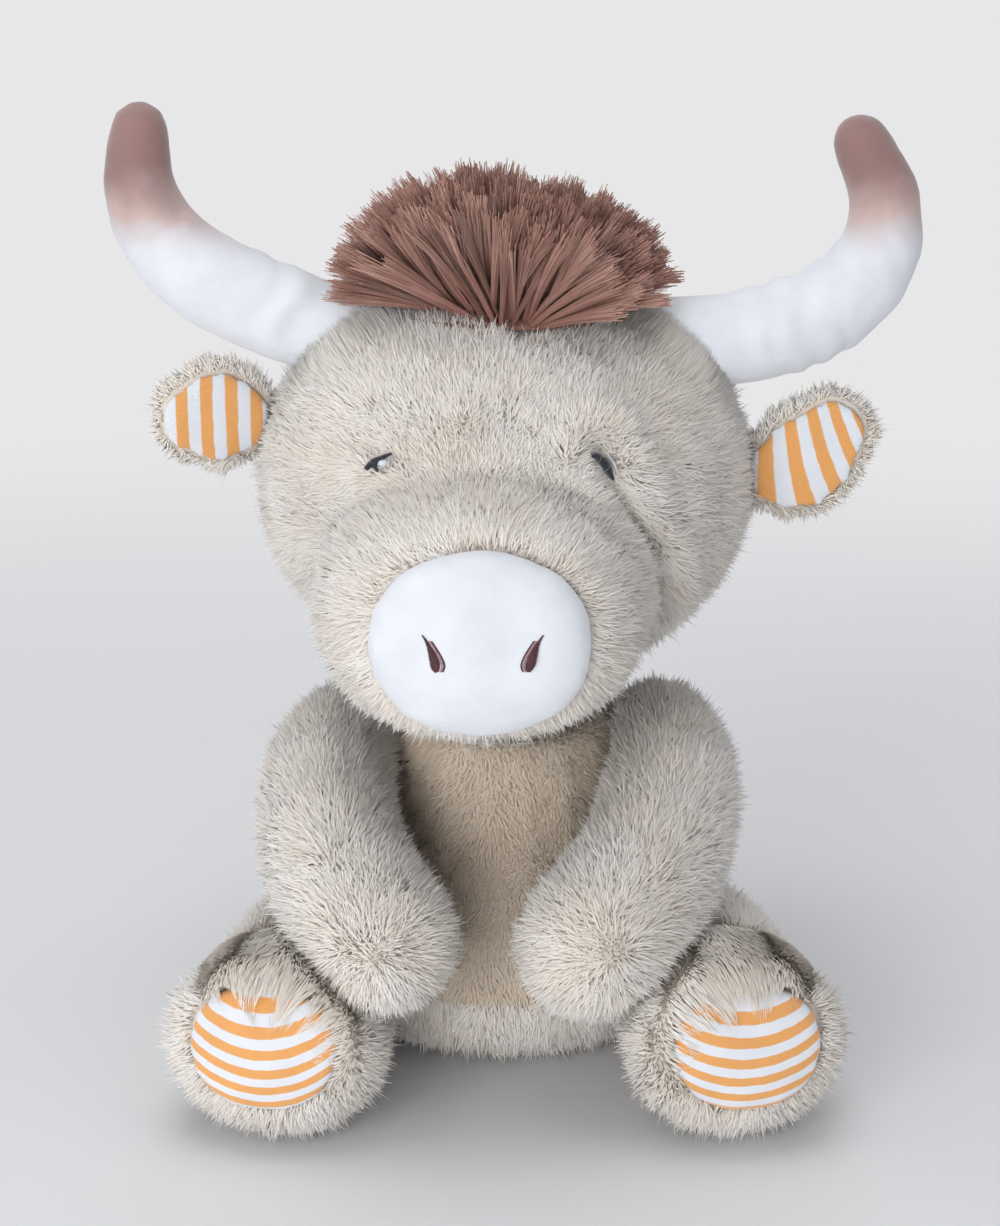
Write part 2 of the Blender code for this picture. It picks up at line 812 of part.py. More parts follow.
def make_neck():
    below_neck = half_space("below_neck", 2, -1, torso_height + seam_gap)
    inner = cutter("neck_inner", neck_form(plush_wall))
    cover = piece("neck_cover", neck_form(0.0), beige_plush, neck_turn)
    cut(cover, inner, below_neck)
    filling = piece("neck_filling", neck_form(plush_wall + stuffing_gap), stuffing, neck_turn)
    cut(filling, below_neck)


def make_head():
    snout = cutter("snout_outer", snout_form(0.0))
    inner = cutter("head_inner", head_form(plush_wall))
    add(inner, cutter("snout_inner", snout_form(plush_wall)))
    disc_seat = cutter("disc_seat", disc_form(-seam_gap))
    eye_seats = [cutter(f"eye_seat_{side_name(side)}", eye_form(side, -seam_gap)) for side in (LEFT, RIGHT)]
    behind = half_space("behind_side_seam", 1, 1, head_side_seam_y)
    before = half_space("before_side_seam", 1, -1, head_side_seam_y + seam_gap)

    for side, eye_seat in zip((LEFT, RIGHT), eye_seats):
        name = side_name(side)
        other_half = half_space(f"beyond_{name}_face_seam", 0, -side, side * seam_gap / 2)
        cover = piece(f"head_{name}_cover", head_form(0.0), beige_plush, head_nod)
        add(cover, snout)
        cut(cover, disc_seat, neck_seat, eye_seat, inner, behind, other_half)
    back = piece("head_back_cover", head_form(0.0), beige_plush, head_nod)
    cut(back, neck_seat, inner, before)

    wad = plush_wall + stuffing_gap
    wad_seat = cutter("muzzle_wad_seat", muzzle_wad_form(-seam_gap))
    filling = piece("head_filling", head_form(wad), stuffing, head_nod)
    add(filling, cutter("snout_wad", snout_form(wad)))
    cut(filling, disc_seat, wad_seat, neck_seat)
    muzzle = piece("muzzle_filling", muzzle_wad_form(0.0), stuffing, head_nod)
    cut(muzzle, disc_seat)


def make_face():
    nostril_seats = []
    for side in (LEFT, RIGHT):
        name = side_name(side)
        nostril_seats.append(cutter(f"nostril_seat_{name}", nostril_form(side, -seam_gap)))
        piece(f"nostril_{name}", nostril_form(side, 0.0), burgundy_thread, head_nod)
        piece(f"eye_{name}", eye_form(side, 0.0), dark_thread, head_nod)
    disc = piece("muzzle_disc", disc_form(0.0), white_velour, head_nod)
    cut(disc, *nostril_seats)


def make_tuft():
    scalp = cutter("scalp_below_backing", head_form(-seam_gap))
    backing_top = cutter("scalp_over_backing", head_form(-seam_gap - tuft_backing_wall))
    pile_floor = cutter("scalp_below_pile", head_form(-seam_gap * 2 - tuft_backing_wall))
    backing = piece("tuft_backing", tuft_form(seam_gap), brown_pile, head_nod)
    boolean(backing, "INTERSECT", backing_top)
    cut(backing, scalp)
    pile = piece("hair_tuft", tuft_form(0.0), brown_pile, head_nod)
    cut(pile, pile_floor)


def make_horns():
    for side in (LEFT, RIGHT):
        name = side_name(side)
        under_seam = behind_plane(f"under_horn_{name}_seam", *horn_seat(side))
        inner = cutter(f"horn_inner_{name}", horn_form(side, velour_wall))
        cover = piece(f"horn_{name}_cover", horn_form(side, 0.0), white_velour, horn_pivots[side])
        cut(cover, inner, under_seam)
        wad = horn_form(side, velour_wall + stuffing_gap)
        cut(piece(f"horn_{name}_filling", wad, stuffing, horn_pivots[side]), under_seam)


def make_ears():
    for side in (LEFT, RIGHT):
        name = side_name(side)
        back_form = ear_form(side, 0.0, ear_half_thickness)
        back = piece(f"ear_{name}_back", back_form, beige_plush, ear_pivots[side])
        cut(back, cutter(f"ear_lining_seat_{name}", ear_lining_form(side, -seam_gap)))
        piece(f"ear_{name}_lining", ear_lining_form(side, 0.0), striped_velour, ear_pivots[side])


def make_arms():
    for side in (LEFT, RIGHT):
        name = side_name(side)
        seam = cutter(f"inside_arm_{name}_seam", shoulder_flat_form(side))
        inner = cutter(f"arm_inner_{name}", arm_form(side, plush_wall))
        cover = piece(f"arm_{name}_cover", arm_form(side, 0.0), beige_plush, arm_pivots[side])
        cut(cover, inner, seam)
        wad = arm_form(side, plush_wall + stuffing_gap)
        cut(piece(f"arm_{name}_filling", wad, stuffing, arm_pivots[side]), seam)


def leg_layer_cutters(side, inset):
    """What flattens a layer of the leg on the floor and dents it under the hand."""
    name = f"{side_name(side)}_{round(inset / seam_gap)}"
    floor = half_space(f"leg_floor_{name}", 2, -1, inset)
    return floor, cutter(f"hand_dent_{name}", arm_form(side, -dent_gap - inset))


def make_legs():
    for side in (LEFT, RIGHT):
        name = side_name(side)
        inner = cutter(f"leg_inner_{name}", leg_form(side, plush_wall))
        cut(inner, *leg_layer_cutters(side, plush_wall))
        inward = hip(side) - foot(side)
        opening = rod_form(hip(side), inward, leg_root_radius * 2, leg_root_radius * root_opening_share)
        sole_seat = cutter(f"sole_seat_{name}", sole_form(side, -seam_gap))
        cover = piece(f"leg_{name}_cover", leg_form(side, 0.0), beige_plush, leg_pivots[side])
        cut(cover, *leg_layer_cutters(side, 0.0), inner, cutter(f"leg_opening_{name}", opening), sole_seat)
        wad = plush_wall + stuffing_gap
        filling = piece(f"leg_{name}_filling", leg_form(side, wad), stuffing, leg_pivots[side])
        cut(filling, *leg_layer_cutters(side, wad), sole_seat)
        piece(f"sole_{name}", sole_form(side, 0.0), striped_velour, leg_pivots[side])


def make_tail():
    tail = piece("tail", tail_form(0.0), beige_plush, tail_pivot)
    tuft = piece("tail_tuft", tail_tuft_form(0.0), brown_pile, tail_pivot)
    cut(tuft, cutter("tail_in_tuft", tail_form(-seam_gap)))


make_torso()
make_neck()
make_head()
make_face()
make_tuft()
make_horns()
make_ears()
make_arms()
make_legs()
make_tail()
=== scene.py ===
"""Looks of the seated plush cow: stuffed skins, pile, velour, stitching, floor, light and camera."""
import json
import math

import bmesh
import bpy
import numpy as np
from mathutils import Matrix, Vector, noise
from mathutils.bvhtree import BVHTree


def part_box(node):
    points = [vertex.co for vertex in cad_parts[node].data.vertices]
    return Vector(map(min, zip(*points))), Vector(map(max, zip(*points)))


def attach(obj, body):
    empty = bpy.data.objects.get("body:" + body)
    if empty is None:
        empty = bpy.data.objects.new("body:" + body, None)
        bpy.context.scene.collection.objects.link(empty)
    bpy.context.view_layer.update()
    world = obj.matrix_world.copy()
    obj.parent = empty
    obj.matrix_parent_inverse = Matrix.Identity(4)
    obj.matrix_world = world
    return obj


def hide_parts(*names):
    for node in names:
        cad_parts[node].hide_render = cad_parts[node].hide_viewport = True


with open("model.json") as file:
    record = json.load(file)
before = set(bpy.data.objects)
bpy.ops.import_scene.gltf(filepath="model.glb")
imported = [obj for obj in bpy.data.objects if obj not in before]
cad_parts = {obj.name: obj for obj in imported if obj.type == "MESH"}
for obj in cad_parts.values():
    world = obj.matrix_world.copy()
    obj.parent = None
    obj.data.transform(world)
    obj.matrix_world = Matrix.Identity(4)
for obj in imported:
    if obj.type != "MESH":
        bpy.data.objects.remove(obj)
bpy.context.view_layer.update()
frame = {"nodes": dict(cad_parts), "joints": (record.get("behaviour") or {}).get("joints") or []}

nodes = frame["nodes"]
SIDES = {"left": 1, "right": -1}

# Camera, from the photograph's frame of 1000 by 1226 pixels

photo_width = 1000
photo_height = 1226
focal_pixels = 2231
target_pixel = (505, 613)
camera_target = Vector((0.0, 0.0, 0.132))
camera_distance = 0.750
camera_pitch = math.radians(17)
sensor_height = 36.0

# Floor and backdrop

floor_half = 60.0
backdrop_reach = (0.25, 0.95)
backdrop_colour = (0.80, 0.80, 0.81)

# Skins, pile, horns and soles, with lengths in metres

skin_voxel = 0.0025
fine_voxel = 0.0016
thin_voxel = 0.0012
small_voxel = 0.0010
skin_smoothing = 10
skin_over_stuffing = 0.0007
cloth_frames = 20
muzzle_voxel = 0.0024
muzzle_swell = 0.0026
horn_voxel = 0.0028
horn_swell = 0.0014
sole_voxel = 0.0020
sole_swell = 0.0016
muzzle_unevenness = 0.0007
nostril_dimple = 0.0009
nostril_dimple_radius = 0.0055
crown_level = 0.215
pile_length = 0.0072
pile_length_shares = (0.80, 1.05)
pile_width = 0.00048
pile_inset = 0.0020
pile_root_depth = 0.0004
pile_rise = 0.84
pile_lay = 0.76
pile_twist = 0.28
pile_disorder = 0.30
pile_shading_noise = 0.13
pressed_gain = 0.35
pile_per_cm2 = 460
back_pile_per_cm2 = 370
tummy_pile_length = 0.0050
tummy_pile_per_cm2 = 440
ear_pile_length = 0.0054
ear_pile_per_cm2 = 420
ear_inset = 0.0004
leg_inset = 0.0012
clump_wave = 0.0070
clump_pull = 0.22
broad_pull = 0.30
eye_clearing = 0.0066
fold_clearing = 0.0042
pile_thinning = 1.0
horn_pinned_radius = 0.017
horn_wrinkle = 0.0020
horn_wrinkle_pace = 560
horn_wrinkle_reach = 0.085
horn_unevenness = 0.0006
horn_plug_depth = 0.0070
horn_plug_band = 0.0060
horn_plug_narrowing = 0.26
horn_plug_reach = 0.030
horn_root_radius = 0.0115
horn_root_reach = 0.012
horn_collar_radius = 0.0185
horn_collar_band = 0.0045
# The tummy panel's painted shade: its lower edge and half width.
shaded_tummy_edge = 0.0265
shaded_tummy_half_width = 0.033
pile_overlap = 0.001
sole_radius = 0.0205
sole_front = -0.080
sole_overhang_band = 0.0055
sole_overhang_height = 0.020
sole_overhang_width = 0.030

# Hair on the crown: where it is rooted, and its locks, which are flat bundles with blunt ends

hair_middle = Vector((0.001, -0.010))
hair_half_width = 0.025
hair_half_depth = 0.026
hair_front = Vector((0.004, -0.0360))
hair_front_spread = 0.70
lock_count = 500
blades_per_lock = 44
lock_length = 0.0390
lock_half_width = 0.0013
lock_half_thickness = 0.0006
lock_fan_degrees = 74.0
lock_fan_limits = (-1.36, 1.14)
lock_forward_degrees = 32.0
hair_width = 0.00042
left_lobe_gain = 0.10
right_lobe_loss = 0.04
parting_loss = 0.13

# Material tools


def new_material(name, roughness, sheen=0.0):
    """A Principled material with its fixed values on the shader's sockets, its tree and its shader."""
    material = bpy.data.materials.new(name)
    material.use_nodes = True
    shader = material.node_tree.nodes["Principled BSDF"]
    shader.inputs["Roughness"].default_value = roughness
    shader.inputs["Sheen Weight"].default_value = sheen
    shader.inputs["Sheen Roughness"].default_value = 0.5
    shader.inputs["Specular IOR Level"].default_value = 0.25
    return material, material.node_tree, shader


def feed(tree, value, socket):
    """Links a socket to a node's input, or sets a plain value there."""
    if isinstance(value, bpy.types.NodeSocket):
        tree.links.new(value, socket)
    else:
        socket.default_value = value


def add_node(tree, kind, **inputs):
    """A node with some of its inputs fed."""
    node = tree.nodes.new(kind)
    for name, value in inputs.items():
        feed(tree, value, node.inputs[name.replace("_", " ")])
    return node


def ramp(tree, factor, stops):
    """A colour ramp with stops of (place, colour)."""
    node = tree.nodes.new("ShaderNodeValToRGB")
    tree.links.new(factor, node.inputs["Fac"])
    elements = node.color_ramp.elements
    while len(elements) < len(stops):
        elements.new(0.5)
    for element, (place, colour) in zip(elements, stops):
        element.position = place
        element.color = (*colour, 1.0)
    return node.outputs["Color"]


def mixed(tree, kind, factor, first, second):
    """Two colours mixed by a factor, each a socket or a plain value."""
    node = tree.nodes.new("ShaderNodeMix")
    node.data_type = "RGBA"
    node.blend_type = kind
    for index, value in ((0, factor), (6, first), (7, second)):
        feed(tree, (*value, 1.0) if isinstance(value, tuple) else value, node.inputs[index])
    return node.outputs[2]


def math_node(tree, operation, *values):
    node = tree.nodes.new("ShaderNodeMath")
    node.operation = operation
    for socket, value in zip(node.inputs, values):
        feed(tree, value, socket)
    return node.outputs[0]


def smooth_step(tree, value, low, high):
    node = add_node(tree, "ShaderNodeMapRange", Value=value, From_Min=low, From_Max=high)
    node.interpolation_type = "SMOOTHSTEP"
    return node.outputs["Result"]


def object_place(tree):
    return tree.nodes.new("ShaderNodeTexCoord").outputs["Object"]


def object_axes(tree):
    """The object coordinates, whole and split."""
    place = object_place(tree)
    return place, add_node(tree, "ShaderNodeSeparateXYZ", Vector=place).outputs


def cloud_of(tree, place, scale, detail=2.0, rough=0.5):
    """The value of a noise texture at a place."""
    node = add_node(tree, "ShaderNodeTexNoise", Vector=place, Scale=scale, Detail=detail, Roughness=rough)
    return node.outputs["Fac"]


def speckled(tree, shader, scale, dark, light, spread=0.4):
    """Colours a shader by a fine noise between two tones, and returns the noise."""
    speckle = cloud_of(tree, object_place(tree), scale)
    colour = ramp(tree, speckle, ((0.5 - spread / 2, dark), (0.5 + spread / 2, light)))
    tree.links.new(colour, shader.inputs["Base Color"])
    return speckle


def new_group(name, setting, results):
    """A node group, with its one setting, its output sockets and the object coordinates."""
    group = bpy.data.node_groups.new(name, "ShaderNodeTree")
    group.interface.new_socket(setting, in_out="INPUT", socket_type="NodeSocketFloat")
    for result in results:
        group.interface.new_socket(result, in_out="OUTPUT", socket_type="NodeSocketFloat")
    start = group.nodes.new("NodeGroupInput")
    end = group.nodes.new("NodeGroupOutput")
    return group, start.outputs[setting], end.inputs, object_place(group)


def make_patch_group():
    """Broad soft patches, a mask for painted sheen: where the pile would lie another way, its tips take the
    lighter tone.
    """
    group, size, end, place = new_group("pile_sheen_patches", "Size", ["Mask"])
    broad = cloud_of(group, place, size, 3.0, 0.6)
    group.links.new(smooth_step(group, broad, 0.38, 0.64), end["Mask"])
    return group


def make_velour_group():
    """The fine nap of velour: a height for its bump and a faint tone."""
    group, fineness, end, place = new_group("velour_nap", "Fineness", ["Height", "Tone"])
    group.links.new(cloud_of(group, place, fineness, 2.0, 0.7), end["Height"])
    group.links.new(cloud_of(group, place, 70.0, 3.0), end["Tone"])
    return group


patch_group = make_patch_group()
velour_group = make_velour_group()


def placed_group(tree, group, **values):
    node = tree.nodes.new("ShaderNodeGroup")
    node.node_tree = group
    for name, value in values.items():
        node.inputs[name].default_value = value
    return node.outputs


def pile_material(name, root, low_tip, high_tip, roughness=0.80, sheen=0.35):
    """Pile that is deep in tone at its roots, with its tips between two tones."""
    material, tree, shader = new_material(name, roughness, sheen)
    uv = tree.nodes.new("ShaderNodeUVMap")
    uv.uv_map = "OFBake"
    tone, along, _ = add_node(tree, "ShaderNodeSeparateXYZ", Vector=uv.outputs["UV"]).outputs
    # The patches draw the tips towards the lighter tone as painted sheen.
    patches = placed_group(tree, patch_group, Size=34.0)["Mask"]
    blend = math_node(tree, "MULTIPLY_ADD", patches, 0.50, math_node(tree, "MULTIPLY", tone, 0.50))
    tip = mixed(tree, "MIX", blend, low_tip, high_tip)
    rise = math_node(tree, "POWER", along, 0.8)
    tree.links.new(mixed(tree, "MIX", rise, root, tip), shader.inputs["Base Color"])
    return material


def backing_material(name, dark, light):
    """The knitted ground under the pile."""
    material, tree, shader = new_material(name, 0.95, 0.2)
    knit = speckled(tree, shader, 900.0, dark, light, 0.3)
    bump = add_node(tree, "ShaderNodeBump", Height=knit, Strength=0.4, Distance=0.0004)
    tree.links.new(bump.outputs["Normal"], shader.inputs["Normal"])
    return material


def velour_material(name, paint):
    """Short nap over a colour that the paint function makes in the material's tree."""
    material, tree, shader = new_material(name, 0.88, 0.45)
    nap = placed_group(tree, velour_group, Fineness=2600.0)
    shade = ramp(tree, nap["Tone"], ((0.30, (0.90, 0.91, 0.93)), (0.70, (1.0, 1.0, 1.0))))
    tree.links.new(mixed(tree, "MULTIPLY", 1.0, paint(tree), shade), shader.inputs["Base Color"])
    bump = add_node(tree, "ShaderNodeBump", Height=nap["Height"], Strength=0.35, Distance=0.0003)
    tree.links.new(bump.outputs["Normal"], shader.inputs["Normal"])
    return material


white_nap = (0.80, 0.82, 0.86)
orange_nap = (0.84, 0.40, 0.13)
horn_brown = (0.315, 0.185, 0.170)
horn_blush = (0.62, 0.46, 0.43)
horn_fade = (0.260, 0.290)
horn_fade_waver = 0.016
band_waver = 0.0007
sole_band_crowding = 1602.0
sole_bands_per_metre = 275.0

# The bands of each ear's lining: pitch, phase, fan, and the corner that they fan out from

ear_bands = {
    "left": (0.0084, 0.405, 17.0, (0.083, 0.1934)),
    "right": (0.00775, 0.803, 0.0, (0.0, 0.0)),
}

# The bands of each sole: phase, middle and sag

sole_bands = {"left": (0.53, 0.0725, 12.0), "right": (0.95, -0.0735, 15.0)}


def plain_paint(tree):
    return white_nap


def horn_paint(tree):
    """White, with airbrushed brown that fades in towards the tip."""
    place, axes = object_axes(tree)
    cloud = cloud_of(tree, place, 60.0, 4.0)
    shift = math_node(tree, "MULTIPLY_ADD", cloud, horn_fade_waver, axes["Z"])
    mask = smooth_step(tree, shift, *horn_fade)
    return ramp(tree, mask, ((0.0, white_nap), (0.45, horn_blush), (1.0, horn_brown)))


def banded(tree, turns):
    """Orange bands on white, one to each turn."""
    wave = math_node(tree, "PINGPONG", turns, 0.5)
    return mixed(tree, "MIX", smooth_step(tree, wave, 0.22, 0.28), white_nap, orange_nap)


def wavering(tree, place, value):
    """A value with the small unevenness of a printed nap."""
    return math_node(tree, "MULTIPLY_ADD", cloud_of(tree, place, 240.0), band_waver, value)


def ear_paint(pitch, phase, fan, corner):
    """Upright bands that lean more the further they lie out from a corner of the lining."""
    def paint(tree):
        place, axes = object_axes(tree)
        outward = math_node(tree, "SUBTRACT", axes["X"], corner[0])
        upward = math_node(tree, "SUBTRACT", axes["Z"], corner[1])
        lean = math_node(tree, "MULTIPLY", math_node(tree, "MULTIPLY", outward, upward), fan)
        across = wavering(tree, place, math_node(tree, "ADD", axes["X"], lean))
        return banded(tree, math_node(tree, "MULTIPLY_ADD", across, 1.0 / pitch, phase))
    return paint


def sole_paint(phase, middle_x, sag):
    """Level bands that sag in their middle and lie closer together towards the heel."""
    def paint(tree):
        place, axes = object_axes(tree)
        sideways = math_node(tree, "SUBTRACT", axes["X"], middle_x)
        sagging = math_node(tree, "POWER", sideways, 2.0)
        height = wavering(tree, place, math_node(tree, "MULTIPLY_ADD", sagging, -sag, axes["Z"]))
        squared = math_node(tree, "MULTIPLY", height, height)
        crowded = math_node(tree, "MULTIPLY_ADD", squared, sole_band_crowding, phase)
        return banded(tree, math_node(tree, "MULTIPLY_ADD", height, -sole_bands_per_metre, crowded))
    return paint


def thread_material(name, dark, light):
    """Satin stitch: threads with a sheen along them."""
    material, tree, shader = new_material(name, 0.45, 0.3)
    speckled(tree, shader, 1800.0, dark, light)
    return material


beige_pile = pile_material("beige_pile", (0.78, 0.68, 0.56), (0.88, 0.82, 0.745), (0.97, 0.955, 0.94))
# The tummy's pile is the beige fabric painted darker and warmer: painted shade for how its short,
# downward-lying pile takes the light.
shaded_tummy_pile = pile_material("shaded_tummy_pile", (0.66, 0.52, 0.38), (0.78, 0.66, 0.53), (0.90, 0.81, 0.69))
# The brown hair's lighter tip tone is a painted highlight: hairs drawn towards it stand for the locks that
# catch the light.
brown_hair = pile_material("brown_hair", (0.24, 0.105, 0.078), (0.32, 0.155, 0.122), (0.60, 0.37, 0.30),
                           roughness=0.48, sheen=0.20)
beige_ground = backing_material("beige_ground", (0.72, 0.65, 0.56), (0.80, 0.74, 0.66))
brown_ground = backing_material("brown_ground", (0.20, 0.09, 0.066), (0.30, 0.145, 0.108))
stuffing_fibre = backing_material("stuffing_fibre", (0.72, 0.72, 0.70), (0.86, 0.86, 0.84))
liner_weave = backing_material("liner_weave", (0.55, 0.53, 0.47), (0.70, 0.68, 0.62))
white_velour = velour_material("white_velour_nap", plain_paint)
horn_velour = velour_material("horn_velour_nap", horn_paint)
ear_velours = {
    name: velour_material(f"ear_{name}_velour_nap", ear_paint(*ear_bands[name])) for name in SIDES
}
sole_velours = {
    name: velour_material(f"sole_{name}_velour_nap", sole_paint(*sole_bands[name])) for name in SIDES
}
dark_satin = thread_material("dark_satin", (0.008, 0.010, 0.016), (0.030, 0.036, 0.050))
# Light thread, also used for the painted highlight along the left eye's edge.
light_satin = thread_material("light_satin", (0.45, 0.52, 0.60), (0.75, 0.80, 0.86))
burgundy_satin = thread_material("burgundy_satin", (0.040, 0.010, 0.014), (0.110, 0.034, 0.042))
# Light rose thread for the painted highlight beside each nostril.
rose_highlight_satin = thread_material("rose_highlight_satin", (0.30, 0.16, 0.18), (0.52, 0.36, 0.38))

# Mesh tools


def linked(name, data):
    """An object of some data, in the scene."""
    item = bpy.data.objects.new(name, data)
    bpy.context.scene.collection.objects.link(item)
    return item


def new_piece(name, form, material):
    """An object at the origin from a bmesh, shaded smooth."""
    mesh = bpy.data.meshes.new(name)
    form.to_mesh(mesh)
    form.free()
    mesh.shade_smooth()
    mesh.materials.append(material)
    return linked(name, mesh)


def settle(piece):
    """Applies the piece's modifiers."""
    shown = piece.evaluated_get(bpy.context.evaluated_depsgraph_get())
    mesh = bpy.data.meshes.new_from_object(shown)
    old = piece.data
    piece.modifiers.clear()
    piece.data = mesh
    bpy.data.meshes.remove(old)
    mesh.name = piece.name


def remesh(piece, voxel):
    """Makes a piece anew as one closed surface."""
    closed = piece.modifiers.new("closed", "REMESH")
    closed.mode = "VOXEL"
    closed.voxel_size = voxel
    settle(piece)


def keep_largest(piece):
    """Drops the small closed bodies that a remesh leaves inside a form."""
    form = bmesh.new()
    form.from_mesh(piece.data)
    left = set(form.verts)
    groups = []
    while left:
        group = [left.pop()]
        for member in group:
            others = {edge.other_vert(member) for edge in member.link_edges} & left
            left -= others
            group.extend(others)
        groups.append(group)
    for group in sorted(groups, key=len)[:-1]:
        bmesh.ops.delete(form, geom=group, context="VERTS")
    form.to_mesh(piece.data)
    form.free()


def stuffed(name, sources, material, voxel=skin_voxel, inset=0.0, smoothing=skin_smoothing):
    """One smooth closed skin round some CAD solids, drawn in by the inset."""
    form = bmesh.new()
    for source in sources:
        form.from_mesh(nodes[source].data)
    bmesh.ops.remove_doubles(form, verts=form.verts, dist=0.00001)
    piece = new_piece(name, form, material)
    remesh(piece, voxel)
    keep_largest(piece)
    smooth = piece.modifiers.new("smooth", "SMOOTH")
    smooth.factor = 0.5
    smooth.iterations = smoothing
    if inset:
        draw_in = piece.modifiers.new("draw_in", "DISPLACE")
        draw_in.strength = -inset
        draw_in.mid_level = 0.0
    settle(piece)
    piece.data.shade_smooth()
    return piece


def surface_of(mesh):
    """A mesh's surface, for finding places on it."""
    form = bmesh.new()
    form.from_mesh(mesh)
    surface = BVHTree.FromBMesh(form)
    form.free()
    return surface


def kept_over(skin, name):
    """Moves a skin out to lie just over a CAD solid that it would otherwise cut into."""
    inner = surface_of(nodes[name].data)
    for vertex in skin.data.vertices:
        place, normal, _, gap = inner.find_nearest(vertex.co)
        height = (vertex.co - place).dot(normal)
        if height < skin_over_stuffing and gap < pile_length:
            vertex.co = place + normal * skin_over_stuffing


def inflated(piece, voxel, cap, pinned):
    """Lets a pad swell as cloth under pressure, held where it is pinned and moved no further than the cap."""
    remesh(piece, voxel)
    start = [vertex.co.copy() for vertex in piece.data.vertices]
    group = piece.vertex_groups.new(name="pinned")
    for index, place in enumerate(start):
        group.add([index], pinned(place), "REPLACE")
    cloth = piece.modifiers.new("cloth", "CLOTH")
    cloth.settings.vertex_group_mass = "pinned"
    cloth.settings.use_pressure = True
    cloth.settings.uniform_pressure_force = 4.0
    cloth.settings.effector_weights.gravity = 0.0
    cloth.settings.quality = 5
    cloth.point_cache.frame_start = 1
    cloth.point_cache.frame_end = cloth_frames
    for step in range(1, cloth_frames + 1):
        bpy.context.scene.frame_set(step)
    settle(piece)
    bpy.context.scene.frame_set(1)
    piece.vertex_groups.clear()
    for vertex, place in zip(piece.data.vertices, start):
        move = vertex.co - place
        if move.length > cap:
            move = move.normalized() * cap
        vertex.co = place + move
    finer = piece.modifiers.new("finer", "SUBSURF")
    finer.levels = 1
    finer.render_levels = 1
    settle(piece)
    piece.data.shade_smooth()


def push_out(piece, heights):
    """Moves the points of a piece along their normals."""
    normals = [vertex.normal.copy() for vertex in piece.data.vertices]
    for vertex, normal, height in zip(piece.data.vertices, normals, heights):
        vertex.co += normal * float(height)


def template_of(form):
    """The places and faces of a flat hair that a bmesh holds."""
    form.verts.index_update()
    places = np.array([vertex.co[:2] for vertex in form.verts])
    faces = [[vertex.index for vertex in face.verts] for face in form.faces]
    form.free()
    return places, faces


def leaf_template():
    """One short hair: a slender diamond of unit length along Y."""
    form = bmesh.new()
    bmesh.ops.create_circle(form, segments=4, radius=0.5, cap_ends=True)
    bmesh.ops.translate(form, vec=(0, 0.5, 0), verts=form.verts)
    bend = [vertex for vertex in form.verts if abs(vertex.co.y - 0.5) < 0.1]
    bmesh.ops.connect_verts(form, verts=bend)
    return template_of(form)


def strand_template(segments):
    """One long hair: a ribbon of unit length along Y with a blunt end."""
    form = bmesh.new()
    bmesh.ops.create_grid(form, x_segments=1, y_segments=segments, size=0.5)
    bmesh.ops.translate(form, vec=(0, 0.5, 0), verts=form.verts)
    return template_of(form)


def planted(name, template, hairs, material, taper=0.0):
    """A mesh of one hair at each root, with its tone and its length along it in the map OFBake.

    hairs holds arrays: root, rise and lay (the vectors that a hair climbs and leans by), side,
    normal, width and tone.
    """
    places, faces = template
    count = len(hairs["root"])
    along = places[:, 1][None, :, None]
    across = places[:, 0][None, :, None]
    narrowing = 1.0 - taper * along
    points = hairs["root"][:, None] + hairs["rise"][:, None] * (along - 0.35 * along ** 2)
    points = points + hairs["lay"][:, None] * along ** 1.5
    points = points + hairs["side"][:, None] * hairs["width"][:, None, None] * across * narrowing
    points[..., 2] = np.maximum(points[..., 2], 0.0)
    corners = np.concatenate(faces)
    starts = np.cumsum([0] + [len(face) for face in faces[:-1]])
    steps = np.arange(count)[:, None]
    mesh = bpy.data.meshes.new(name)
    mesh.vertices.add(count * len(places))
    mesh.vertices.foreach_set("co", points.astype(np.float32).ravel())
    mesh.loops.add(count * len(corners))
    mesh.loops.foreach_set("vertex_index", (corners[None] + steps * len(places)).astype(np.int32).ravel())
    mesh.polygons.add(count * len(faces))
    mesh.polygons.foreach_set("loop_start", (starts[None] + steps * len(corners)).astype(np.int32).ravel())
    tones = hairs["tone"][:, None] * 0.96 + (places[corners, 0] + 0.5) * 0.04
    lengths = np.broadcast_to(places[corners, 1][None], tones.shape)
    layer = mesh.uv_layers.new(name="OFBake")
    layer.data.foreach_set("uv", np.stack([tones, lengths], axis=2).astype(np.float32).ravel())
    mesh.update(calc_edges=True)
    mesh.shade_smooth()
    shading = np.repeat(hairs["normal"], len(places), axis=0)
    mesh.normals_split_custom_set_from_vertices(shading.tolist())
    mesh.materials.append(material)
    return linked(name, mesh)


def unit(vectors):
    return vectors / np.maximum(np.linalg.norm(vectors, axis=-1, keepdims=True), 1e-9)


def rows_of(items, field, kind=float):
    """A field of three numbers of each item, as the rows of an array."""
    values = np.empty(len(items) * 3, kind)
    items.foreach_get(field, values)
    return values.reshape(-1, 3)


def sampled(piece, draws, per_cm2, keep=None):
    """Random roots on a skin and the skin's normals there."""
    mesh = piece.data
    mesh.calc_loop_triangles()
    triangles = rows_of(mesh.loop_triangles, "vertices", np.int32)
    places = rows_of(mesh.vertices, "co")
    normals = rows_of(mesh.vertex_normals, "vector")
    if keep is not None:
        triangles = triangles[keep(places)[triangles].all(axis=1)]
    corners = places[triangles]
    areas = np.linalg.norm(np.cross(corners[:, 1] - corners[:, 0], corners[:, 2] - corners[:, 0]), axis=1) / 2
    count = int(areas.sum() * 1e4 * per_cm2)
    picks = draws.choice(len(triangles), count, p=areas / areas.sum())
    shares = draws.dirichlet((1, 1, 1), count)
    roots = np.einsum("ij,ijk->ik", shares, corners[picks])
    return roots, unit(np.einsum("ij,ijk->ik", shares, normals[triangles[picks]]))


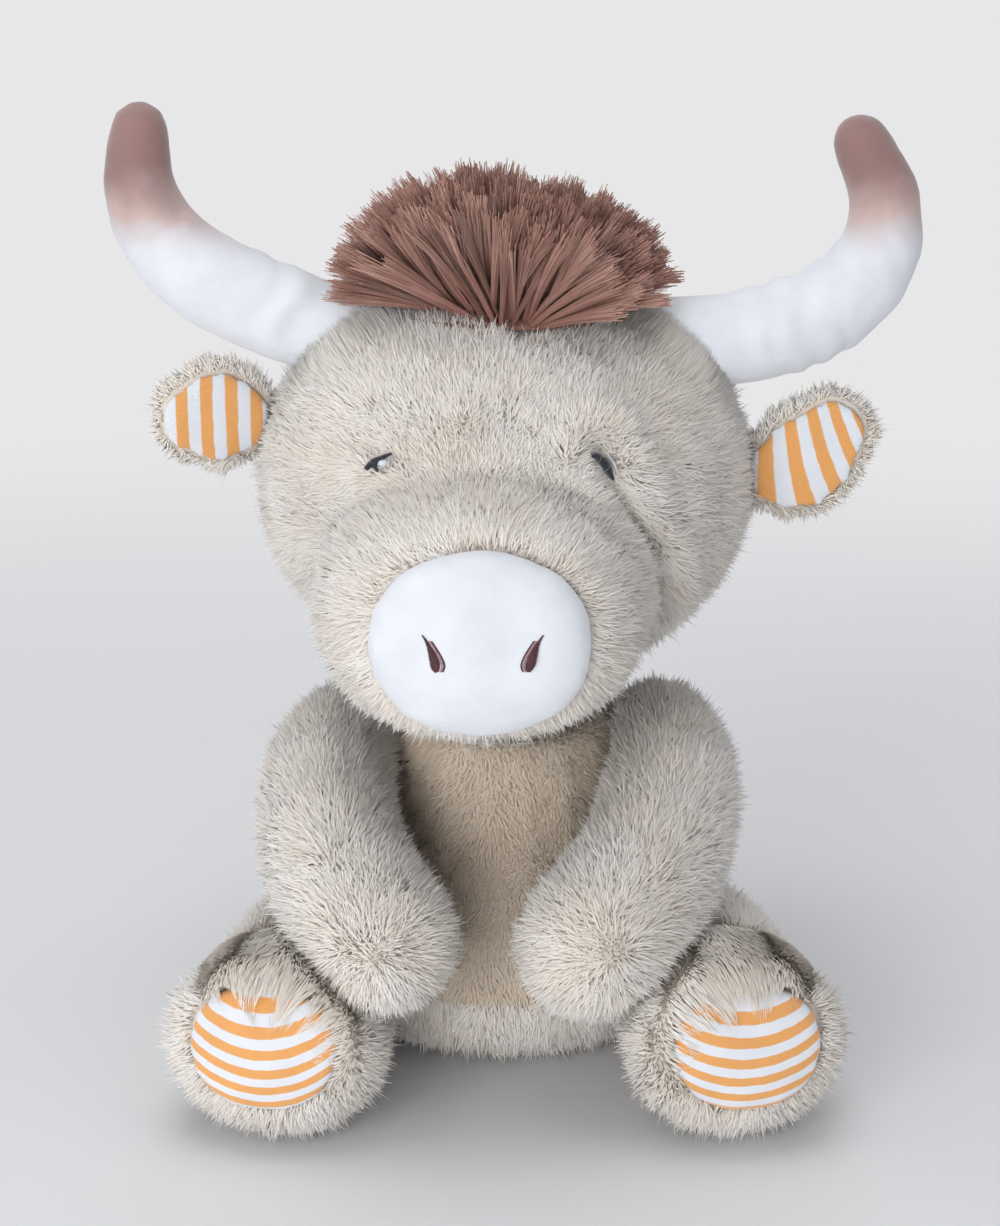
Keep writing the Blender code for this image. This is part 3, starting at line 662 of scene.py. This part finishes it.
def gathering(roots, wave, seed):
    """The slope of a smooth random field, up which hairs lean and gather into clumps."""
    draws = np.random.default_rng(seed)
    slope = np.zeros_like(roots)
    for _ in range(14):
        direction = unit(draws.normal(size=3))
        pace = 2 * math.pi / (wave * draws.uniform(0.7, 1.8))
        slope += direction * np.cos(roots @ direction * pace + draws.uniform(0, 6.3))[:, None]
    return slope / 2.6


def patchy(roots, wave, seed):
    """A smooth random field between 0 and 1."""
    return np.clip(0.5 + gathering(roots, wave, seed)[:, 0] * 0.45, 0.0, 1.0)


def pile(name, skin, flow, body, seed, length=pile_length, keep=None, per_cm2=pile_per_cm2, press=None,
         finish=(beige_pile, "beige_plush")):
    """Pile on a skin: it follows the flow, gathers into clumps and is uneven in length and tone.

    press gives, for the roots, a lean that replaces the flow where it is strong.
    """
    draws = np.random.default_rng(seed)
    roots, normals = sampled(skin, draws, per_cm2 * pile_thinning, keep)
    count = len(roots)
    lean = flow(roots) + gathering(roots, clump_wave, seed + 1) * clump_pull
    lean += gathering(roots, clump_wave * 3.5, seed + 2) * broad_pull
    lean -= normals * np.sum(lean * normals, axis=1, keepdims=True)
    size = np.linalg.norm(lean, axis=1, keepdims=True)
    lean = lean / np.maximum(size, 1e-9) * np.minimum(size, 1.0)
    lean += draws.normal(scale=pile_disorder, size=lean.shape)
    lengths = length * draws.uniform(*pile_length_shares, count)[:, None]
    if press is not None:
        pressed = press(roots)
        share = np.minimum(np.linalg.norm(pressed, axis=1, keepdims=True), 1.0)
        lean = lean * (1.0 - share) + pressed
        lean -= normals * np.minimum(np.sum(lean * normals, axis=1, keepdims=True), 0.0)
        lengths = lengths * (1.0 + pressed_gain * share)
    near_eye = np.min([np.linalg.norm(roots - place, axis=1) for place in eye_places], axis=0)[:, None]
    lengths = lengths * np.clip(near_eye / eye_clearing, 0.28, 1.0) ** 1.2
    near_fold, from_fold = nearest_of(face_fold, roots)
    lengths = lengths * np.clip(near_fold / fold_clearing, 0.25, 1.0)
    lean += from_fold * np.exp(-(near_fold / fold_clearing) ** 2) * 0.8
    side = unit(np.cross(lean + 1e-6, normals))
    side = unit(side + unit(lean) * draws.normal(scale=pile_twist, size=count)[:, None])
    hairs = {
        "root": roots - normals * pile_root_depth,
        "rise": normals * lengths * pile_rise,
        "lay": lean * lengths * pile_lay,
        "side": side,
        "normal": unit(normals + draws.normal(scale=pile_shading_noise, size=normals.shape)),
        "width": np.full(count, pile_width / math.sqrt(pile_thinning)),
        "tone": patchy(roots, clump_wave * 1.6, seed + 3) * 0.45 + draws.uniform(0, 0.55, count),
    }
    material, slot = finish
    dressed(planted(name, leaf_template(), hairs, material), body, slot)


def dressed(piece, body, slot, *replaced, fill=None):
    """Says what a piece rides on and hides the CAD parts that it stands for; slot, the piece's finish, and
    fill, how tightly a pad is filled, are not used.
    """
    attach(piece, body)
    if replaced:
        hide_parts(*replaced)


def middle(node):
    low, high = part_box(node)
    return (Vector(low) + Vector(high)) / 2


def clear_of(names, margin):
    """A test that keeps the places further than a margin from some CAD solids."""
    solids = [surface_of(nodes[name].data) for name in names]

    def test(places):
        return np.array([all(s.find_nearest(Vector(p), margin)[0] is None for s in solids) for p in places])
    return test


eye_places = [np.array(middle(f"eye_{name}")) for name in SIDES]

# The fold between the snout and the left cheek, as shares of the head's half width and half
# height from its middle, and its depth forward as a share of the head's half depth

fold_shares = (
    (0.35, 0.34, -0.90),
    (0.46, 0.07, -0.92),
    (0.55, -0.21, -0.84),
    (0.60, -0.50, -0.62),
    (0.50, -0.80, -0.55),
)
fold_ridge = 0.0034
fold_ridge_offset = 0.009
fold_ridge_width = 0.005
fold_groove = 0.0022
fold_groove_width = 0.003


def fold_line():
    low = Vector(map(min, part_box("head_left_cover")[0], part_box("head_right_cover")[0]))
    high = Vector(map(max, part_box("head_left_cover")[1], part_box("head_back_cover")[1]))
    half_height = (high.z - low.z) / 2
    half_width = high.x
    half_depth = high.y
    centre_z = high.z - half_height
    return [
        np.array((x * half_width, y * half_depth, centre_z + z * half_height))
        for x, z, y in fold_shares
    ]


def nearest_of(line, roots):
    """The distance from each root to a broken line, and the direction away from it."""
    best = np.full(len(roots), np.inf)
    away = np.zeros_like(roots)
    for start, end in zip(line[:-1], line[1:]):
        run = end - start
        share = np.clip((roots - start) @ run / (run @ run), 0.0, 1.0)
        offset = roots - start - share[:, None] * run
        gap = np.linalg.norm(offset, axis=1)
        nearer = gap < best
        best[nearer] = gap[nearer]
        away[nearer] = offset[nearer]
    return best[:, None], unit(away)


face_fold = fold_line()

# Head, with its snout


def away_from(centre, pull):
    """Flow that runs away from a point, and by the pull."""
    def flow(roots):
        return unit(roots - np.array(centre)) * 0.7 + np.array(pull)
    return flow


def hair_patch(places, margin=0.0):
    """A test for the places of the crown where hair is rooted: an oval that comes to a V at its front."""
    across = (places[:, 0] - hair_middle.x) / (hair_half_width + margin)
    back = (places[:, 1] - hair_middle.y) / (hair_half_depth + margin)
    front = hair_front.y - margin + np.abs(places[:, 0] - hair_front.x) * hair_front_spread
    return (across ** 2 + back ** 2 < 1.0) & (places[:, 1] > front) & (places[:, 2] > crown_level)


def press_fold(skin):
    """Raises both sides of the fold beside the snout and sinks its middle."""
    gaps = nearest_of(face_fold, rows_of(skin.data.vertices, "co"))[0][:, 0]
    heights = fold_ridge * np.exp(-((gaps - fold_ridge_offset) / fold_ridge_width) ** 2)
    heights -= fold_groove * np.exp(-(gaps / fold_groove_width) ** 2)
    push_out(skin, heights)


def joint_of(name):
    """A joint's place and axis."""
    joint = next(j for j in frame["joints"] if j["name"] == name)
    return np.array(joint["pos_m"]), np.array(joint["axis"])


def round_horns(roots):
    """The lean of the pile round each horn, up along the horn, so that it closes over the seam."""
    lean = np.zeros_like(roots)
    for name in SIDES:
        place, outward = joint_of(f"horn_{name}_swing")
        offset = roots - place
        reach = np.linalg.norm(offset, axis=1)
        near = np.exp(-(np.maximum(reach - horn_collar_radius, 0.0) / horn_collar_band) ** 2)
        lean += (outward * 1.0 - unit(offset) * 0.5) * near[:, None]
    return lean


def off_horns(places):
    """A test for the places outside the drawn-in roots of the horns."""
    outside = np.ones(len(places), bool)
    for name in SIDES:
        place, outward = joint_of(f"horn_{name}_swing")
        offset = places - place
        height = offset @ outward
        radial = np.linalg.norm(offset - height[:, None] * outward, axis=1)
        outside &= (radial > horn_root_radius) | (np.abs(height) > horn_root_reach)
    return outside


def make_head():
    covers = ["head_left_cover", "head_right_cover", "head_back_cover"]
    skin = stuffed("head_skin", covers + ["head_filling", "muzzle_filling"], beige_ground, inset=pile_inset)
    press_fold(skin)
    kept_over(skin, "head_filling")
    dressed(skin, "head", "beige_plush", *covers, fill=0.8)
    seat = clear_of(["muzzle_disc", "neck_cover"], 0.0003)
    flow = away_from(middle("muzzle_disc"), (0, 0.10, -0.20))
    for index, (name, test) in enumerate({
        "head_left_pile": lambda p: (p[:, 0] >= 0) & (p[:, 1] < 0.012),
        "head_right_pile": lambda p: (p[:, 0] < 0.002) & (p[:, 1] < 0.012),
        "head_back_pile": lambda p: p[:, 1] >= 0.009,
    }.items()):
        def keep(places, test=test):
            inside = test(places) & ~hair_patch(places, -0.0025) & off_horns(places)
            inside[inside] = seat(places[inside])
            return inside
        density = back_pile_per_cm2 if name == "head_back_pile" else pile_per_cm2
        pile(name, skin, flow, "head", 11 + index * 5, keep=keep, per_cm2=density, press=round_horns)


def rim_of(node):
    """How far towards the rim of a round pad a place lies, from 0 at its middle to 1."""
    low, high = (Vector(corner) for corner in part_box(node))
    centre = (low + high) / 2

    def pinned(place):
        across = (place.x - centre.x) / (high.x - low.x) * 2
        upward = (place.z - centre.z) / (high.z - low.z) * 2
        reach = math.hypot(across, upward)
        return min(1.0, max(0.0, (reach - 0.80) / 0.12))
    return pinned


def make_muzzle():
    solids = ["muzzle_disc", "nostril_left", "nostril_right"]
    disc = stuffed("muzzle_velour", solids, white_velour, fine_voxel, 0.0, 14)
    inflated(disc, muzzle_voxel, muzzle_swell, rim_of("muzzle_disc"))
    nostrils = [middle("nostril_left"), middle("nostril_right")]
    heights = []
    for vertex in disc.data.vertices:
        fold = noise.noise(Vector((vertex.co.x * 70, vertex.co.y * 30, vertex.co.z * 45)))
        nearest = min((vertex.co.xz - place.xz).length for place in nostrils)
        dimple = math.exp(-(nearest / nostril_dimple_radius) ** 2)
        heights.append(fold * muzzle_unevenness - dimple * nostril_dimple)
    push_out(disc, heights)
    dressed(disc, "head", "white_velour", "muzzle_disc", fill=0.85)
    return disc


ray_start = 0.05
thread_half = 0.00030
satin_slant = 0.25
satin_bulge = 0.35


def front_of(piece, points, lift):
    """The points moved along Y to lie on a piece, seen from the front, and out by the lift."""
    surface = surface_of(piece.data)
    found = []
    for point in points:
        start = Vector((point.x, point.y - ray_start, point.z))
        place = surface.ray_cast(start, Vector((0, 1, 0)))[0]
        found.append(place - Vector((0, lift, 0)) if place else point)
    return found


def satin(name, line, widths, out, material):
    """Satin stitch: short threads side by side across a line, bulging in its middle."""
    form = bmesh.new()
    count = len(line)
    for index, (place, width) in enumerate(zip(line, widths)):
        before, after = line[max(index - 1, 0)], line[min(index + 1, count - 1)]
        forward = (after - before).normalized()
        across = (forward.cross(out).normalized() + forward * satin_slant).normalized()
        made = bmesh.ops.create_uvsphere(form, u_segments=8, v_segments=6, radius=1.0)["verts"]
        for vertex in made:
            reach, high, thick = vertex.co.z, vertex.co.y, vertex.co.x
            bulge = out * (0.5 + 0.5 * (1 - reach * reach)) * width * satin_bulge
            upper = place + across * reach * width + out * high * thread_half
            vertex.co = upper + forward * thick * thread_half + bulge
    bmesh.ops.recalc_face_normals(form, faces=form.faces)
    return new_piece(name, form, material)


def stroke(knots, count):
    """Places and half widths on a smooth stroke through knots of (across, up, half width), in millimetres."""
    knots = np.array(knots) * 0.001
    steps = np.linalg.norm(np.diff(knots[:, :2], axis=0), axis=1)
    marks = np.concatenate([[0.0], np.cumsum(steps)])
    goals = np.linspace(0.0, marks[-1], count * 4)
    fine = np.stack([np.interp(goals, marks, column) for column in knots.T], axis=1)
    ends = np.pad(fine, ((count // 2, count // 2), (0, 0)), mode="edge")
    window = np.ones(count + 1) / (count + 1)
    smooth = np.stack([np.convolve(column, window, mode="valid") for column in ends.T], axis=1)
    return smooth[np.linspace(0, len(smooth) - 1, count).astype(int)]


nostril_knots = (
    (2.6, 5.6, 0.2),
    (1.3, 4.0, 0.4),
    (0.5, 2.2, 0.8),
    (-0.7, -0.8, 1.5),
    (-1.3, -3.2, 1.75),
    (-1.6, -4.7, 1.3),
    (-1.7, -5.4, 0.3),
)
nostril_threads = 30
nostril_bare_threads = 6
nostril_highlight_band = 0.00040
nostril_outline = 0.00025
nostril_shift = 0.0009
nostril_lift = 0.0002
nostril_edge_lift = 0.0001


def make_nostrils(disc):
    """Each nostril's stitch, and beside it a painted highlight of light rose thread with a thin rim beyond,
    which start below its tip.
    """
    forward = Vector((0, -1, 0))
    light = np.full(nostril_threads - nostril_bare_threads, nostril_highlight_band)
    thin = np.full(nostril_threads - nostril_bare_threads, nostril_outline)
    for name, side in SIDES.items():
        centre = middle(f"nostril_{name}")
        marks = stroke(nostril_knots, nostril_threads)
        widths = marks[:, 2]

        def on_disc(across, lift, first=0, marks=marks, centre=centre, side=side):
            shifts = [(side * (x - a) + nostril_shift, 0, z) for (x, z, _), a in zip(marks, across)]
            return front_of(disc, [centre + Vector(shift) for shift in shifts], lift)[first:]
        highlight_line = on_disc(widths + light[0], nostril_edge_lift, nostril_bare_threads)
        rim_line = on_disc(widths + light[0] * 2 + thin[0], nostril_edge_lift, nostril_bare_threads)
        # The edge is a painted highlight: a band of light rose thread beside the dark stitch.
        for part, line, half_widths, thread, replaced in (
            ("stitch", on_disc(widths * 0, nostril_lift), widths, burgundy_satin, [f"nostril_{name}"]),
            ("edge", highlight_line, light, rose_highlight_satin, []),
            ("rim", rim_line, thin, burgundy_satin, []),
        ):
            stitched = satin(f"nostril_{name}_{part}", line, half_widths, forward, thread)
            dressed(stitched, "head", "burgundy_thread", *replaced)


# Each eye's strokes as seen from the front, in millimetres from its middle: across to the right,
# up, and half width

eye_strokes = {
    "left": {
        "stitch": ((-3.2, 3.0, 0.6), (-0.8, 2.2, 1.5), (1.4, -0.2, 2.0), (2.4, -2.6, 1.7), (3.8, -5.4, 0.3)),
        # The left eye's edge is a painted highlight: a line of light thread along its outer side, where the
        # fur's edge catches the light.
        "edge": ((2.0, 3.0, 0.2), (4.2, -0.4, 0.3), (5.2, -4.2, 0.2)),
    },
    "right": {
        "stitch": ((-4.2, -2.7, 0.7), (-2.0, -0.5, 1.6), (1.3, 1.5, 0.9), (4.0, 2.8, 0.4)),
        "toe": ((-1.6, -0.9, 1.0), (-0.2, -3.0, 0.35)),
        "glint": ((0.2, -0.7, 0.6), (1.3, -0.5, 1.2), (2.6, 0.1, 0.6)),
        "edge": ((3.3, 1.2, 0.2), (3.4, -1.2, 0.25)),
    },
}
eye_facing = (0.30, -1.0, 0.25)
eye_threads = 22
eye_lift = 0.0033
eye_light_lift = 0.0005


def make_eyes():
    for name, side in SIDES.items():
        out = Vector((side * eye_facing[0], *eye_facing[1:])).normalized()
        right = Vector((0, 0, 1)).cross(out).normalized()
        up = out.cross(right).normalized()
        base = middle(f"eye_{name}") + out * eye_lift
        for part, knots in eye_strokes[name].items():
            marks = stroke(knots, eye_threads)
            # Light thread for the glint and the edges; the left eye's edge is a painted highlight.
            dark = part in ("stitch", "toe")
            raised = base + out * (0.0 if dark else eye_light_lift)
            line = [raised + right * float(x) + up * float(z) for x, z, _ in marks]
            thread = dark_satin if dark else light_satin
            stitched = satin(f"eye_{name}_{part}", line, marks[:, 2], out, thread)
            replaced = [f"eye_{name}"] if part == "stitch" else []
            dressed(stitched, "head", "dark_thread" if dark else "white_velour", *replaced)


# Hair


def lock_courses(draws, starts):
    """Which way each lock grows: fanned out to both sides, the more the nearer it is to the patch's edge."""
    back = np.clip((starts[:, 1] - hair_middle.y) / hair_half_depth, -0.98, 0.98)
    half_width = hair_half_width * np.sqrt(1.0 - back ** 2)
    front_width = np.maximum(starts[:, 1] - hair_front.y, 0.001) / hair_front_spread + 0.003
    across = np.clip((starts[:, 0] - hair_middle.x) / np.minimum(half_width, front_width), -1.0, 1.0)
    fan = np.radians(lock_fan_degrees) * across * np.abs(across) ** 0.3
    fan = np.clip(fan + draws.normal(scale=0.17, size=len(starts)), *lock_fan_limits)
    lean = np.radians(lock_forward_degrees) * back + draws.normal(scale=0.12, size=len(starts))
    return unit(np.stack([np.sin(fan), np.sin(lean), np.cos(fan)], axis=1)), across


def make_hair():
    ground = stuffed("hair_ground", ["tuft_backing"], brown_ground, 0.0008, 0.0, 4)
    dressed(ground, "head", "brown_pile", "tuft_backing")
    draws = np.random.default_rng(71)
    roots, normals = sampled(ground, draws, 90, hair_patch)
    picks = draws.choice(np.flatnonzero(normals[:, 2] > 0.15), lock_count, replace=False)
    starts = roots[picks]
    courses, across = lock_courses(draws, starts)
    lengths = lock_length * draws.uniform(0.88, 1.05, len(starts)) * (1.0 - 0.18 * across ** 4)
    left_lobe = np.exp(-((across + 0.45) / 0.35) ** 2)
    lengths *= 1.0 + left_lobe_gain * left_lobe - right_lobe_loss * (across > 0.05)
    lengths *= 1.0 - parting_loss * np.exp(-((across - 0.08) / 0.10) ** 2)
    facing = np.array([0.0, -1.0, 0.25]) + draws.normal(scale=0.45, size=courses.shape)
    turned = unit(np.cross(courses, facing))
    turned *= np.where(np.cross(turned, courses)[:, 1:2] > 0, -1.0, 1.0)
    thick = np.cross(turned, courses)
    bends = turned * draws.normal(scale=0.11, size=len(starts))[:, None]
    which = np.repeat(np.arange(len(starts)), max(6, int(blades_per_lock * pile_thinning)))
    count = len(which)
    wide = draws.uniform(-1, 1, count)[:, None] * lock_half_width
    deep = draws.uniform(-1, 1, count)[:, None] * lock_half_thickness
    offset = turned[which] * wide + thick[which] * deep
    reach = (lengths[which] * draws.uniform(0.86, 1.04, count))[:, None]
    sag = np.array([0, 0, -1.0]) * reach * 0.04
    stray = draws.normal(scale=0.018, size=(count, 3)) * reach
    # A random share of the painted highlight tone for each lock and each hair.
    lit = draws.uniform(0, 1, len(starts))[which] * 0.4 + draws.uniform(0, 0.6, count)
    hairs = {
        "root": starts[which] + offset * 0.5,
        "rise": courses[which] * reach,
        "lay": courses[which] * reach * 0.35 + offset + bends[which] * reach + sag + stray,
        "side": unit(turned[which] + draws.normal(scale=0.22, size=(count, 3))),
        "normal": unit(thick[which] + turned[which] * wide / lock_half_width * 0.6
                       + draws.normal(scale=0.14, size=(count, 3))),
        "width": np.full(count, hair_width / math.sqrt(pile_thinning)),
        "tone": lit,
    }
    hair = planted("hair_locks", strand_template(4), hairs, brown_hair, 0.35)
    dressed(hair, "head", "brown_pile", "hair_tuft")


# Horns, ears and limbs


def joint_place(name):
    return Vector(joint_of(name)[0])


def sunk_root(horn, root, outward):
    """Narrows the end of a horn and draws it into the head, so that the pile closes round it."""
    for vertex in horn.data.vertices:
        offset = vertex.co - root
        height = offset.dot(outward)
        share = 1.0 - height / horn_plug_band
        if share <= 0.0 or offset.length > horn_plug_reach:
            continue
        share = min(share, 1.0)
        radial = offset - outward * height
        vertex.co -= radial * horn_plug_narrowing * share + outward * horn_plug_depth * share


def cover_and_filling(name):
    return [f"{name}_cover", f"{name}_filling"]


def make_horns():
    for name, side in SIDES.items():
        solids = cover_and_filling(f"horn_{name}")
        horn = stuffed(f"horn_{name}_velour", solids, horn_velour, fine_voxel, 0.0, 24)
        root = joint_place(f"horn_{name}_swing")

        def pinned(place, root=root):
            return 1.0 if (place - root).length < horn_pinned_radius else 0.0
        inflated(horn, horn_voxel, horn_swell, pinned)
        heights = []
        for vertex in horn.data.vertices:
            far = (vertex.co - root).length
            cloud = noise.noise(vertex.co * 45)
            patch = max(0.0, noise.noise(vertex.co * 38 + Vector((7, 3, side))) + 0.20)
            ripple = math.sin(far * horn_wrinkle_pace + cloud * 5) * patch
            fade = max(0.0, 1 - far / horn_wrinkle_reach)
            heights.append(ripple * horn_wrinkle * fade + cloud * horn_unevenness)
        push_out(horn, heights)
        sunk_root(horn, root, Vector(joint_of(f"horn_{name}_swing")[1]))
        dressed(horn, f"horn_{name}", "white_velour", f"horn_{name}_cover", fill=0.9)


def make_ears():
    for name, side in SIDES.items():
        ear = f"ear_{name}"
        skin = stuffed(f"{ear}_skin", [f"{ear}_back"], beige_ground, thin_voxel, ear_inset, 6)
        dressed(skin, ear, "beige_plush", f"{ear}_back")
        lining = stuffed(f"{ear}_velour", [f"{ear}_lining"], ear_velours[name], small_voxel, 0.0, 8)
        dressed(lining, ear, "striped_velour", f"{ear}_lining", fill=0.5)
        keep = clear_of([f"{ear}_lining"], 0.0012)
        flow = away_from(joint_place(f"{ear}_flop"), (0, 0.2, 0))
        pile(f"{ear}_pile", skin, flow, ear, 31 + side, ear_pile_length, keep, ear_pile_per_cm2)


def down_flow(pull):
    """Flow that runs one way everywhere."""
    def flow(roots):
        return np.broadcast_to(np.array(pull), roots.shape) * 0.8
    return flow


def make_torso():
    panels = ["seat_panel", "tummy_panel", "back_left_panel", "back_right_panel"]
    skin = stuffed("torso_skin", panels + ["torso_filling"], beige_ground, inset=pile_inset)
    kept_over(skin, "torso_filling")
    dressed(skin, "torso", "beige_plush", *panels, fill=0.75)
    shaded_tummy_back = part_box("tummy_panel")[1][1]
    downward = down_flow((0, 0, -1))
    seat = clear_of(["leg_left_cover", "leg_right_cover", "arm_left_cover", "arm_right_cover"], 0.0012)

    # The tummy panel, where the pile is shorter and painted darker and warmer as painted shade.
    def shaded_tummy(places, margin=pile_overlap):
        across = np.abs(places[:, 0]) < shaded_tummy_half_width + margin
        return across & (places[:, 1] < shaded_tummy_back - pile_overlap + margin) & (places[:, 2] > shaded_tummy_edge - margin)

    def rest(places):
        inside = ~shaded_tummy(places, 0.0) & (places[:, 2] > 0.0015)
        inside[inside] = seat(places[inside])
        return inside
    pile("tummy_pile", skin, downward, "torso", 41, tummy_pile_length, shaded_tummy, tummy_pile_per_cm2,
         finish=(shaded_tummy_pile, "tan_plush"))
    pile("torso_pile", skin, downward, "torso", 43, keep=lambda places: rest(places) & (places[:, 1] < 0.0))
    pile("torso_back_pile", skin, downward, "torso", 44,
         keep=lambda places: rest(places) & (places[:, 1] > -0.003), per_cm2=back_pile_per_cm2)
    neck = stuffed("neck_skin", cover_and_filling("neck"), beige_ground, inset=0.0010)
    dressed(neck, "neck", "beige_plush", "neck_cover")
    pile("neck_pile", neck, downward, "neck", 47, 0.0050, lambda places: places[:, 2] < 0.140, 150)


def over_sole(name):
    """The lean of the pile above a sole, down over its upper edge."""
    centre = np.array(middle(f"sole_{name}"))

    def press(roots):
        offset = centre - roots
        gap = np.linalg.norm(offset[:, [0, 2]], axis=1) - sole_radius
        near = np.exp(-(np.maximum(gap, 0.0) / sole_overhang_band) ** 2) * (roots[:, 1] < sole_front)
        inward = SIDES[name] * offset[:, 0] / sole_overhang_width
        near *= np.clip(0.40 - offset[:, 2] / sole_overhang_height + inward, 0.10, 1.35)
        forward = np.array((0.0, -1.0, 0.0))
        return (unit(offset) * 1.1 + forward * 0.5) * near[:, None]
    return press


def limb_skin(body, inset):
    skin = stuffed(f"{body}_skin", cover_and_filling(body), beige_ground, inset=inset)
    kept_over(skin, f"{body}_filling")
    dressed(skin, body, "beige_plush", f"{body}_cover", fill=0.8)
    return skin


def make_limbs():
    for name, side in SIDES.items():
        arm = f"arm_{name}"
        leg = f"leg_{name}"
        low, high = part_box(f"{arm}_cover")
        hand = ((low[0] + high[0]) / 2 - side * 0.006, low[1] - 0.004, low[2] + 0.026)
        pile(f"{arm}_pile", limb_skin(arm, pile_inset), away_from(hand, (0, 0, -0.15)), arm, 53 + side)
        off_sole = clear_of([f"sole_{name}"], 0.0009)

        def keep(places, off_sole=off_sole):
            inside = places[:, 2] > 0.0025
            inside[inside] = off_sole(places[inside])
            return inside
        flow = away_from(middle(f"sole_{name}"), (0, 0.10, -0.10))
        pile(f"{leg}_pile", limb_skin(leg, leg_inset), flow, leg, 59 + side, keep=keep, press=over_sole(name))
        sole = stuffed(f"sole_{name}_velour", [f"sole_{name}"], sole_velours[name], thin_voxel, 0.0, 8)
        inflated(sole, sole_voxel, sole_swell, rim_of(f"sole_{name}"))
        dressed(sole, leg, "striped_velour", f"sole_{name}", fill=0.6)


def make_tail():
    tail = stuffed("tail_skin", ["tail"], beige_ground, small_voxel, 0.0006, 6)
    dressed(tail, "tail", "beige_plush", "tail")
    pile("tail_pile", tail, down_flow((0, 1, -0.3)), "tail", 61, 0.0035)
    tuft = stuffed("tail_tuft_skin", ["tail_tuft"], brown_ground, small_voxel, 0.0016, 6)
    dressed(tuft, "tail", "brown_pile", "tail_tuft")
    pile("tail_tuft_pile", tuft, down_flow((0, 1.4, -0.1)), "tail", 67, 0.0080,
         lambda places: places[:, 2] > 0.0015, 260, finish=(brown_hair, "brown_pile"))


def finish_hidden_nodes():
    """The stuffing and the pellet bag, which stay inside the skins."""
    for name, node in nodes.items():
        if name.endswith("filling") or name == "pellet_bag":
            node.data.materials.clear()
            node.data.materials.append(liner_weave if name == "pellet_bag" else stuffing_fibre)


# Floor, light and camera


def backdrop_rays(tree):
    """1 for the rays that show the backdrop: those of the camera, of gloss and through glass."""
    rays = tree.nodes.new("ShaderNodeLightPath").outputs
    seen = math_node(tree, "MAXIMUM", rays["Is Camera Ray"], rays["Is Glossy Ray"])
    return math_node(tree, "MAXIMUM", seen, rays["Is Transmission Ray"])


def show_backdrop(tree, shader, kind, share, output):
    """Mixes the plain backdrop into a shader by a share, and links the blend to the tree's output."""
    pale = add_node(tree, kind, Color=(*backdrop_colour, 1.0), Strength=1.0)
    blend = add_node(tree, "ShaderNodeMixShader", Fac=share)
    tree.links.new(shader.outputs[0], blend.inputs[1])
    tree.links.new(pale.outputs[0], blend.inputs[2])
    tree.links.new(blend.outputs[0], tree.nodes[output].inputs["Surface"])


def make_stage():
    """A floor that keeps the shadow, and turns into the plain pale backdrop away from the toy."""
    form = bmesh.new()
    bmesh.ops.create_grid(form, x_segments=2, y_segments=2, size=floor_half)
    material, tree, shader = new_material("pale_floor", 0.9)
    speckled(tree, shader, 3.0, (0.79, 0.79, 0.80), (0.81, 0.81, 0.82))
    far = tree.nodes.new("ShaderNodeVectorMath")
    far.operation = "LENGTH"
    tree.links.new(object_place(tree), far.inputs[0])
    away = smooth_step(tree, far.outputs["Value"], *backdrop_reach)
    share = math_node(tree, "MULTIPLY", backdrop_rays(tree), away)
    show_backdrop(tree, shader, "ShaderNodeEmission", share, "Material Output")
    new_piece("floor", form, material)


def area_light(name, place, size, power):
    lamp = bpy.data.lights.new(name, "AREA")
    lamp.size = size
    lamp.energy = power
    light = linked(name, lamp)
    light.location = place
    light.rotation_euler = (camera_target - Vector(place)).to_track_quat("-Z", "Y").to_euler()


def make_light():
    area_light("key_light", (-0.60, -1.08, 0.43), 0.70, 6.1)
    area_light("low_light", (-0.16, -1.15, 0.06), 0.50, 4.2)
    area_light("fill_light", (0.75, -1.05, 0.40), 0.90, 0.2)
    area_light("top_light", (-0.10, 0.10, 1.30), 0.90, 5.4)
    area_light("back_light", (0.2, 1.10, 0.70), 0.80, 2.4)
    world = bpy.data.worlds.new("studio")
    bpy.context.scene.world = world
    world.use_nodes = True
    tree = world.node_tree
    background = tree.nodes["Background"]
    background.inputs["Color"].default_value = (0.92, 0.95, 1.0, 1.0)
    background.inputs["Strength"].default_value = 0.42
    show_backdrop(tree, background, "ShaderNodeBackground", backdrop_rays(tree), "World Output")


def make_camera():
    camera = bpy.data.cameras.new("photo_camera")
    camera.sensor_fit = "VERTICAL"
    camera.sensor_height = sensor_height
    camera.lens = focal_pixels / photo_height * sensor_height
    camera.clip_start = 0.05
    view = linked("photo_camera", camera)
    shift = (target_pixel[0] - photo_width / 2) / focal_pixels * camera_distance
    back = Vector((0, -math.cos(camera_pitch), math.sin(camera_pitch))) * camera_distance
    view.location = camera_target + back - Vector((shift, 0, 0))
    view.rotation_euler = (math.pi / 2 - camera_pitch, 0, 0)
    bpy.context.scene.camera = view


make_camera()
make_light()
make_stage()
make_head()
make_nostrils(make_muzzle())
make_eyes()
make_hair()
make_horns()
make_ears()
make_torso()
make_limbs()
make_tail()
finish_hidden_nodes()

bpy.context.scene.view_settings.view_transform = "Standard"
